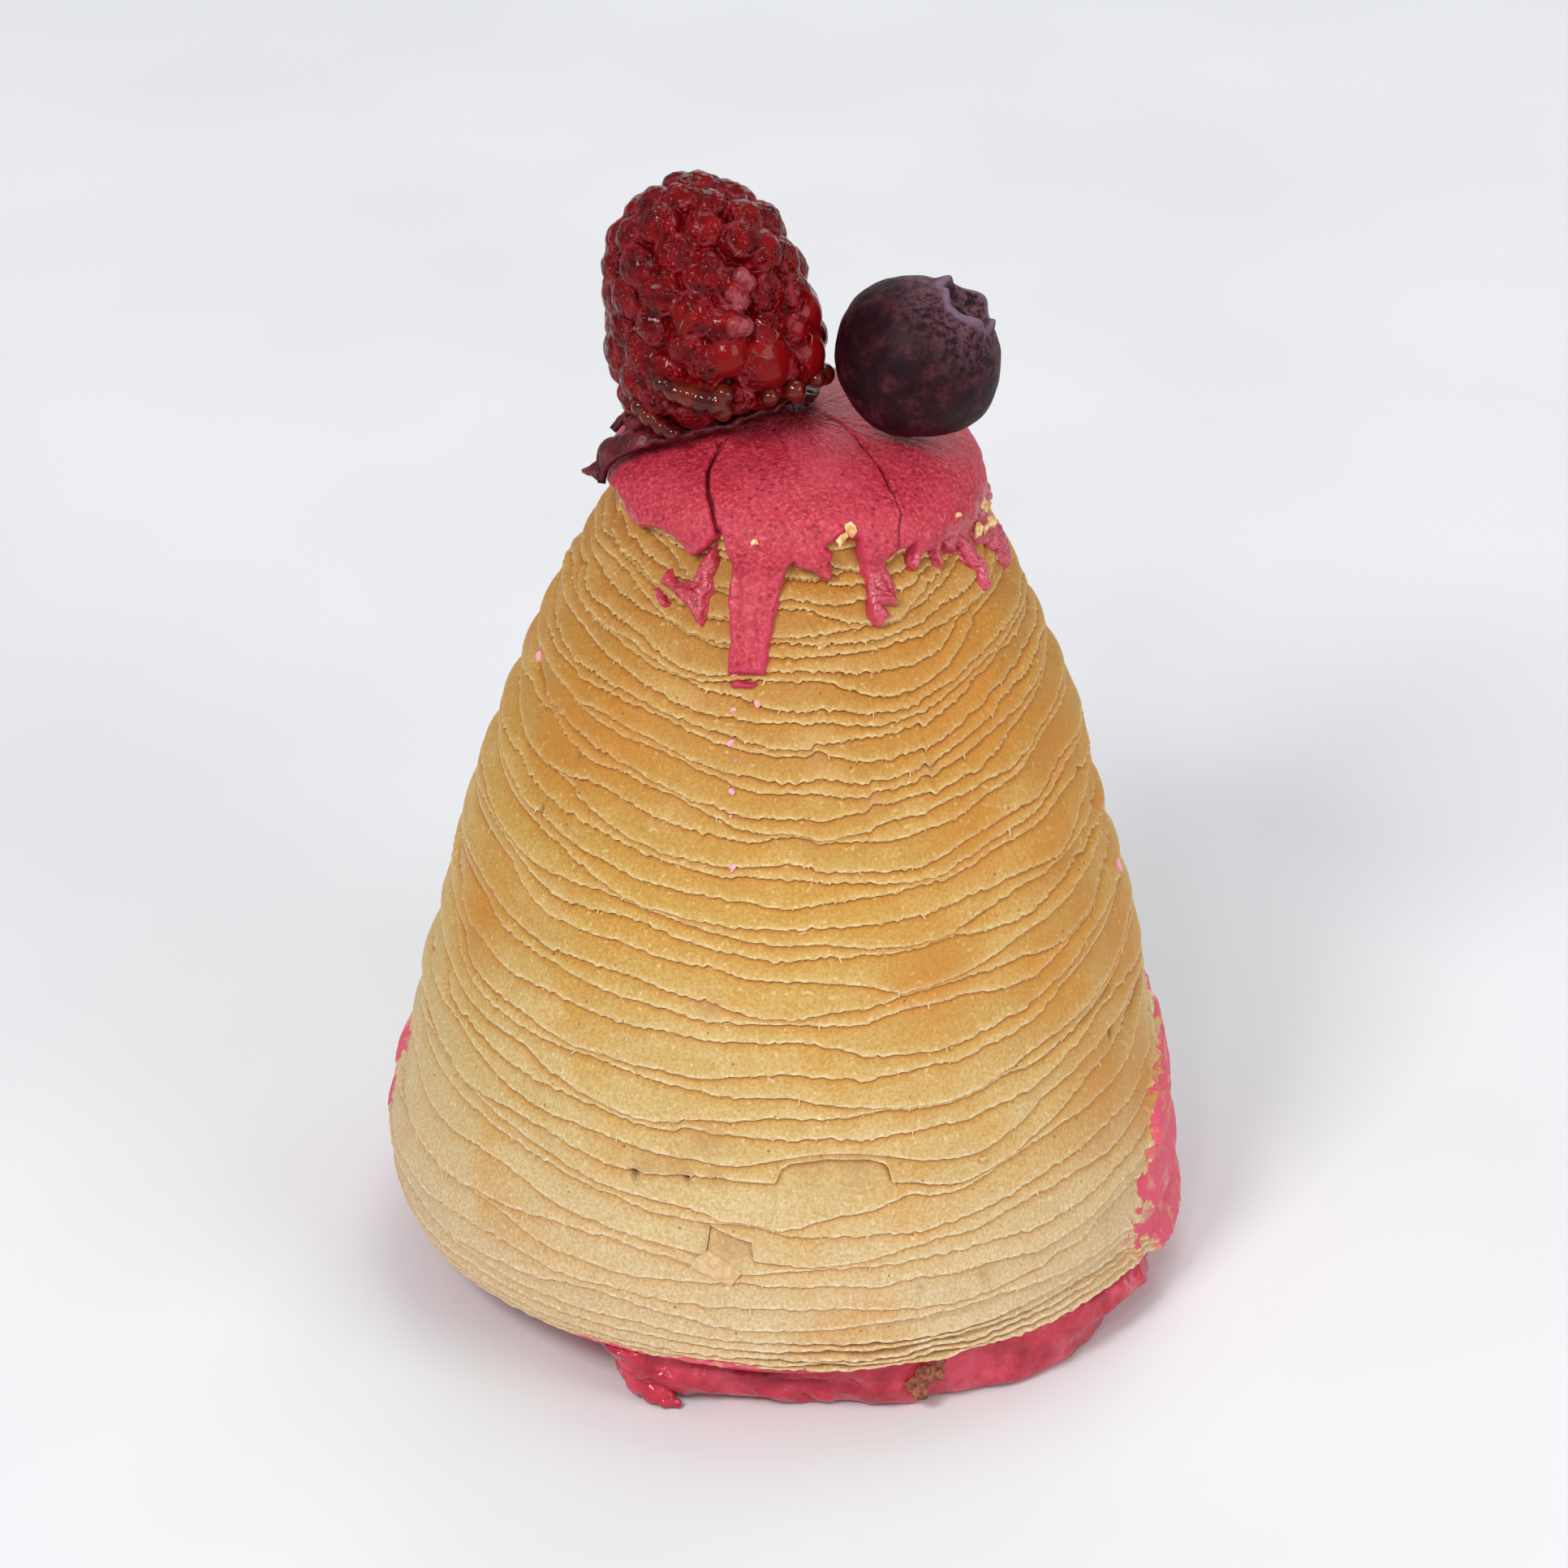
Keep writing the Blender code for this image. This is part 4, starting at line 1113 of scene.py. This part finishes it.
def drupelets():
    """Return place, radius, rise, frost and glaze of each drupelet in the raspberry's own axes."""
    rng = np.random.default_rng(40)
    heights, radii = raspberry_path()
    area = np.append(0, np.cumsum(np.hypot(np.diff(heights), np.diff(radii)) * radii[1:]))
    golden = 180 * (3 - np.sqrt(5))
    found = []
    for i in range(DRUPELET_COUNT):
        height = np.interp((i + 0.5) / DRUPELET_COUNT * area[-1], area, heights)
        place = on_raspberry(i * golden + rng.normal(0, 3), float(height))[0]
        rise = DRUPELET_RISE * rng.uniform(0.85, 1.1)
        found.append((place, DRUPELET_RADIUS * rng.uniform(0.9, 1.12), rise, 0.0, 0.0))
    for azimuth, height, size in FROSTED_DRUPELETS:
        found.append((on_raspberry(azimuth, height)[0], size, 0.8, 1.0, 0.0))
    for azimuth, height, size in GLAZED_DRUPELETS:
        found.append((on_raspberry(azimuth, height)[0], size, 2.2, 0.0, 1.0))
    return found


def make_raspberry():
    """Make the raspberry: low drupelets melted together, some frosted, some glazed, with fine hairs."""
    heights, radii = raspberry_path()
    across, height = np.meshgrid(np.arange(RASPBERRY_COLUMNS) * 360 / RASPBERRY_COLUMNS, heights)
    radius = radii[:, None] + 0 * height
    x, y = around(across, radius)
    fall, grow = np.gradient(heights)[:, None], np.gradient(radii)[:, None]
    length = np.hypot(fall, grow)
    total = np.full(x.shape, np.exp(-1.4 * DRUPELET_MELT))
    sums = {"arc": 0 * x, "frost": 0 * x, "glaze": 0 * x}
    for place, size, rise, frost, glaze in drupelets():
        away = np.sqrt((x - place.x) ** 2 + (y - place.y) ** 2 + (height - place.z) ** 2) / size
        lift = 0.15 + 0.35 * glaze + 0.15 * frost
        cap = rise * (np.sqrt(np.maximum(1 - away ** 2, 0)) - 1) + lift
        weight = np.exp(DRUPELET_MELT * cap) * (away < 1)
        total = total + weight
        sums["arc"] += weight * hill(away, ARC_PLACE, ARC_WIDTH)
        sums["frost"] += weight * frost
        sums["glaze"] += weight * glaze
    rise = np.log(total) / DRUPELET_MELT
    plain = 1 - sums["glaze"] / total
    fine = 0.12 * space_noise(x, y, height, 0.75, 41) + 0.05 * space_noise(x, y, height, 0.4, 42)
    rise = rise + plain * fine + 0.6 * space_noise(x, y, height, 5.0, 44) - 0.1
    rise = rise - 2.2 * bump(across, 35, 45) * (1 - ease(height, 0.0, 2.6))
    radius = radius - fall / length * rise
    height = height + grow / length * rise
    obj = closed_turning("raspberry_fruit", *around(across, radius), height)
    for name, values in sums.items():
        set_attribute(obj, name, values / total)
    stand = raspberry_frame()
    own_to_scene = stand.copy()
    own_to_scene.translation = stand.translation * MM
    obj.data.transform(own_to_scene)
    finish_piece(obj, raspberry_material(), "raspberry", "raspberry")
    make_glaze(stand)
    make_hairs(stand)


def make_glaze(stand):
    """Make the beads and drops of amber glaze round the foot of the raspberry."""
    balls = []
    for azimuth, height, size in GLAZE_BEADS:
        place, out = on_raspberry(azimuth, height)
        balls.append((*(stand @ (place + out * (0.35 - 0.45 * size))), size))
    shader = Shader("amber_glaze_surface")
    base = shader.mix(shader.range(shader.noise(2.0, 2), 0.35, 0.65), srgb(80, 10, 8), srgb(124, 38, 12))
    normal = shader.bump(shader.noise(1.2, 2), 0.15, 0.4)
    shader.set(Base_Color=base, Roughness=0.08, Normal=normal, Transmission_Weight=0.4, IOR=1.4)
    finish_piece(melted_balls("amber_glaze", balls, 0.13, 0.06), shader.material, "raspberry")


def make_hairs(stand):
    """Make the fine curved hairs of the raspberry."""
    rng = np.random.default_rng(43)
    sheet = bmesh.new()
    turn_only = stand.to_3x3()
    for azimuth, height in HAIRS:
        place, out = on_raspberry(azimuth, height)
        sideways = out.cross(Vector((0, 0, 1))).normalized()
        lean = rng.uniform(-0.9, 0.9) * sideways + rng.uniform(-1.0, 0.4) * Vector((0, 0, 1))
        length = rng.uniform(1.1, 2.0)
        steps = [-0.5 * out, 0.25 * out + 0.3 * lean, 0.35 * out + 0.65 * lean, 0.25 * out + lean]
        points = [stand @ place + turn_only @ (length * step) for step in steps]
        add_strand(sheet, points, 0.075)
    obj = sheet_object("raspberry_hairs", sheet)
    shader = Shader("dry_hairs")
    mottling, grain = shader.noise(1.0, 2), shader.noise(0.3, 2)
    material = shader.two_tone(mottling, (172, 116, 52), (120, 62, 26), 0.4, grain, 0.03)
    finish_piece(obj, material, "raspberry")


def apply_modifiers(obj):
    """Replace the object's mesh by its evaluated mesh and drop its modifiers."""
    depsgraph = bpy.context.evaluated_depsgraph_get()
    mesh = bpy.data.meshes.new_from_object(obj.evaluated_get(depsgraph))
    obj.modifiers.clear()
    obj.data = mesh


def raspberry_material():
    """Dark red fruit with fine wet beads, paler arcs between drupelets, frosted and glazed drupelets."""
    shader = Shader("raspberry_skin")
    mottling = shader.noise(1.6, 3, 0.6)
    base = shader.tones(mottling, (0.3, 58, 0, 4), (0.5, 100, 2, 6), (0.72, 132, 10, 12))
    broken = shader.range(shader.noise(1.3, 2), 0.42, 0.62)
    base = shader.tint(base, 158, 62, 74, shader.attribute("arc"), broken, 0.5)
    glaze = shader.attribute("glaze")
    base = shader.tint(base, 126, 12, 12, glaze, 0.7)
    rime = shader.range(shader.noise(0.7, 3, 0.7), 0.36, 0.58, 0.25, 1.0)
    frost = shader.times(shader.attribute("frost"), rime)
    base = shader.tint(base, 150, 68, 74, frost)
    beads = shader.range(shader.cells(0.62), 0.0, 0.6, 1.0, 0.0)
    beads = shader.times(beads, shader.math("SUBTRACT", 1.0, glaze))
    normal = shader.bump(beads, 0.24, 0.8)
    roughness = shader.range(shader.noise(1.7, 2), 0.38, 0.62, 0.07, 0.26)
    roughness = shader.math("ADD", roughness, shader.times(frost, 0.3))
    shader.set(Base_Color=base, Roughness=roughness, Normal=normal, Specular_IOR_Level=0.16)
    shader.set(Subsurface_Weight=0.1, Subsurface_Radius=(1.0, 0.15, 0.1), Subsurface_Scale=0.8 * MM)
    return shader.material


def make_blueberry():
    """Make the blueberry: a slightly flattened ball with soft dents and a ragged calyx."""
    azimuth = np.arange(0, 360, 2.0)
    polar = np.radians(np.linspace(8, 178, 110))
    down, across = np.meshgrid(polar, azimuth, indexing="ij")
    turn = np.radians(across)
    radius = BLUEBERRY_RADIUS * np.sin(down)
    height = BLUEBERRY_RADIUS * np.cos(down)
    lobes = 0.5 + 0.5 * np.cos(CALYX_LOBES * turn + 0.8 * np.sin(2 * turn))
    pit = 1 - ease(down, *CALYX_PIT)
    ridge = hill(down, CALYX_RIM, CALYX_RIM_WIDTH)
    height = height - CALYX_DEPTH * pit + (0.2 + 0.85 * lobes ** 1.5) * ridge
    x, y = around(across, radius)
    dents = 0.38 * space_noise(x, y, height, 4.5, 50) + 0.05 * space_noise(x, y, height, 1.0, 51)
    scale = 1 + dents / BLUEBERRY_RADIUS
    x, y, z = x * scale, y * scale, height * scale * BLUEBERRY_FLATNESS
    obj = closed_turning("blueberry_fruit", x, y, z)
    stand = Vector(CALYX_AXIS).to_track_quat("Z", "Y").to_matrix().to_4x4()
    obj.data.transform(Matrix.Translation(Vector(BLUEBERRY_CENTRE) * MM) @ stand)
    set_attribute(obj, "calyx", ridge + 0.6 * pit)
    set_attribute(obj, "streak", 1 - ease(down, 0.3, 1.3))
    finish_piece(obj, blueberry_material(), "blueberry", "blueberry")


def blueberry_material():
    """Dark purple skin with a pale bloom, thickest below the calyx."""
    shader = Shader("blueberry_skin")
    mottling = shader.noise(2.0, 6, 0.72)
    base = shader.tones(mottling, (0.35, 14, 0, 5), (0.52, 38, 6, 14), (0.7, 74, 30, 40))
    bloom = shader.range(shader.noise(0.7, 4, 0.75), 0.4, 0.62)
    base = shader.tint(base, 120, 80, 90, shader.attribute("streak"), bloom, 0.6)
    base = shader.tint(base, 128, 104, 126, shader.range(shader.attribute("calyx"), 0.4, 1.0, 0.0, 0.6))
    normal = shader.bump(shader.noise(0.8, 3, 0.6), 0.15, 0.4)
    shader.set(Base_Color=base, Roughness=0.55, Normal=normal, Specular_IOR_Level=0.14)
    return shader.material


def slice_height(x, y):
    """Return the height of the slice's lower face: on the icing, then out and down past its shoulder."""
    away = np.hypot(x, y)
    rise = (ICING_TOP - SHOULDER_HEIGHT) * dome(away / (ICING_RADIUS + 0.5), ICING_POWER)
    on_icing = SHOULDER_HEIGHT + rise
    past = away - SLICE_OVERHANG_START
    hanging = SLICE_OVERHANG_HEIGHT - past * np.where(past > 0, SLICE_FALL_OUTSIDE, SLICE_FALL_INSIDE)
    return np.maximum(on_icing, hanging) + SLICE_LIFT


def make_slice():
    """Make the slice of dark fruit: a leathery folded sheet with a curled tip."""
    along = np.linspace(0, 1, 150)
    stations = np.linspace(0, 1, len(SLICE_FRONT))
    front, back = [
        [smooth_curve(along, tuple(zip(stations, axis))) for axis in zip(*edge)]
        for edge in (SLICE_FRONT, SLICE_BACK)
    ]
    across = np.linspace(0, 1, 60)[:, None]
    notch = SLICE_NOTCH * np.sin(np.pi * across) * (1 - along) ** 4
    x = front[0] * (1 - across) + back[0] * across + notch
    y = front[1] * (1 - across) + back[1] * across
    outer = np.clip((np.hypot(x, y) - 8) / 6, 0, 1)
    folds = np.sin(2 * np.pi * (3.2 * across + 0.5 * space_noise(x, y, 0 * x, 4.0, 60)))
    wrinkles = 0.36 * space_noise(x, y, 0 * x, 1.5, 61) + 0.16 * space_noise(x, y, 0 * x, 0.6, 62)
    height = slice_height(x, y) + 0.75 + 0.4 * outer * (1 + folds) + wrinkles
    points = np.stack((x, y, height), axis=-1).reshape(-1, 3)
    obj = build_mesh("dark_fruit_slice", points, ring_faces(*x.shape, closed=False))
    solid = obj.modifiers.new("thickness", "SOLIDIFY")
    solid.thickness = 0.7 * MM
    solid.offset = 0.0
    apply_modifiers(obj)
    finish_piece(obj, slice_material(), "fruit_slice", "fruit_slice")


def slice_material():
    """Dark, leathery and wet fruit."""
    shader = Shader("dark_fruit_skin")
    mottling = shader.noise(1.8, 3, 0.6)
    base = shader.tones(mottling, (0.3, 44, 3, 10), (0.5, 84, 12, 22), (0.75, 126, 34, 44))
    normal = shader.bump(shader.noise(0.6, 4, 0.6), 0.3, 0.6)
    shader.set(Base_Color=base, Roughness=0.28, Normal=normal, Specular_IOR_Level=0.35)
    return shader.material


def outer_place(azimuth, height, lift):
    """Return a place lifted off the icing's surface, or off the wall below it, and the way out."""
    reach = float(bell_radius(height) + wall_bulge(azimuth, height))
    if height > ON_ICING_HEIGHT:
        _, radii, heights = icing_path()
        reach = float(np.interp(-height, -heights, radii))
    out = Vector((*around(azimuth, 1.0), 0.35)).normalized()
    return Vector((*around(azimuth, reach + lift), height)), out


def make_flakes(name, places, lift):
    """Make small ragged flakes, each at an azimuth and height and with a radius."""
    rng = np.random.default_rng(80)
    sheet = bmesh.new()
    for azimuth, height, size in places:
        place, out = outer_place(azimuth, height, lift)
        out = (out + Vector((0, -0.5, 0.2)) + 0.15 * Vector(rng.normal(0, 1, 3))).normalized()
        first = out.orthogonal().normalized()
        second = out.cross(first)
        corners = []
        turns = np.arange(FLAKE_CORNERS) * 2 * math.pi / FLAKE_CORNERS + rng.uniform(0, 6)
        narrow = rng.uniform(0.5, 0.9)
        for turn in turns:
            reach = size * rng.uniform(0.35, 1.3)
            corners.append(place + reach * (math.cos(turn) * first + narrow * math.sin(turn) * second))
        under = [sheet.verts.new(corner - 0.14 * out) for corner in corners]
        over = [sheet.verts.new(corner + rng.uniform(0.06, 0.2) * out) for corner in corners]
        under_middle = sheet.verts.new(place - 0.14 * out)
        over_middle = sheet.verts.new(place + 0.25 * out)
        join_loops(sheet, under, over)
        close_loop(sheet, over, over_middle)
        close_loop(sheet, under[::-1], under_middle)
    obj = sheet_object(name, sheet)
    obj.data.shade_flat()
    return obj


def make_flap():
    """Make the flap of leaf that hangs below the second tear."""
    sheet = bmesh.new()
    under, over = [
        [sheet.verts.new(outer_place(azimuth, height, lift)[0]) for azimuth, height in FLAP]
        for lift in (0.0, FLAP_THICKNESS)
    ]
    sheet.faces.new(over)
    sheet.faces.new(list(reversed(under)))
    join_loops(sheet, under, over)
    obj = sheet_object("torn_flap", sheet)
    obj.data.shade_flat()
    return obj


def make_crumbs():
    """Make the flakes of pastry on the icing and the specks of icing on the pastry."""
    flakes = make_flakes("pastry_flakes", CRUMBS, 0.05)
    shader = Shader("flake_surface")
    mottling, grain = shader.range(shader.noise(0.6, 3), 0.4, 0.6), shader.noise(0.4, 3)
    material = shader.two_tone(mottling, (206, 146, 84), (236, 202, 146), 0.55, grain, 0.1)
    finish_piece(flakes, material, "pastry")
    shader = Shader("flap_surface")
    mottling, grain = shader.range(shader.noise(0.5, 3, 0.6), 0.35, 0.65), shader.noise(0.4, 3)
    material = shader.two_tone(mottling, (200, 162, 112), (216, 184, 136), 0.6, grain, 0.15)
    finish_piece(make_flap(), material, "pastry")
    specks = make_flakes("icing_specks", SPECKS, 0.0)
    shader = Shader("speck_surface")
    mottling, grain = shader.noise(0.6, 3), shader.noise(0.4, 3)
    material = shader.two_tone(mottling, (232, 130, 150), (240, 184, 200), 0.4, grain, 0.1)
    finish_piece(specks, material, "icing")


def make_camera():
    """Look down on the bell from the front, with a slight roll."""
    elevation, roll = math.radians(CAMERA_ELEVATION), math.radians(CAMERA_ROLL)
    back = Vector((0, -math.cos(elevation), math.sin(elevation)))
    up = Vector((0, math.sin(elevation), math.cos(elevation)))
    right = Vector((1, 0, 0))
    rolled_right = right * math.cos(roll) + up * math.sin(roll)
    rolled_up = up * math.cos(roll) - right * math.sin(roll)
    camera = add_object("camera", bpy.data.cameras.new("camera"))
    camera.data.sensor_width = 36.0
    camera.data.lens = CAMERA_LENS
    camera.data.clip_start = 0.01
    camera.data.clip_end = 20.0
    place = (Vector(CAMERA_AIM) + back * CAMERA_DISTANCE) * MM
    turn = Matrix((rolled_right, rolled_up, back)).transposed().to_4x4()
    camera.matrix_world = Matrix.Translation(place) @ turn
    bpy.context.scene.camera = camera


def add_light(name, place, size, power):
    """Add a square area light at a place in metres, aimed at the middle of the bell."""
    lamp = bpy.data.lights.new(name, "AREA")
    lamp.shape = "SQUARE"
    lamp.size = size
    lamp.energy = power
    obj = add_object(name, lamp)
    obj.location = place
    obj.rotation_euler = (Vector(LIGHT_AIM) - Vector(place)).to_track_quat("-Z", "Y").to_euler()


def make_surroundings():
    """Make the pale floor, the pale world and the soft lights."""
    corners = [(x * FLOOR_REACH, y * FLOOR_REACH, 0) for x, y in ((-1, -1), (1, -1), (1, 1), (-1, 1))]
    floor = build_mesh("floor", corners, [(0, 1, 2, 3)])
    shader = Shader("pale_floor")
    base = shader.mix(shader.range(shader.noise(60, 2), 0.3, 0.7), srgb(221, 222, 224), srgb(226, 227, 228))
    shader.set(Base_Color=base, Roughness=0.8)
    floor.data.materials.append(shader.material)
    world = bpy.data.worlds.new("pale_room")
    world.use_nodes = True
    background = world.node_tree.nodes["Background"]
    background.inputs["Color"].default_value = (0.93, 0.95, 1.0, 1.0)
    background.inputs["Strength"].default_value = 0.46
    bpy.context.scene.world = world
    bpy.context.scene.view_settings.view_transform = "Standard"
    for light in LIGHTS:
        add_light(*light)


make_camera()
make_surroundings()
make_pastry()
make_foot()
make_icing()
make_slice()
make_raspberry()
make_blueberry()
make_crumbs()
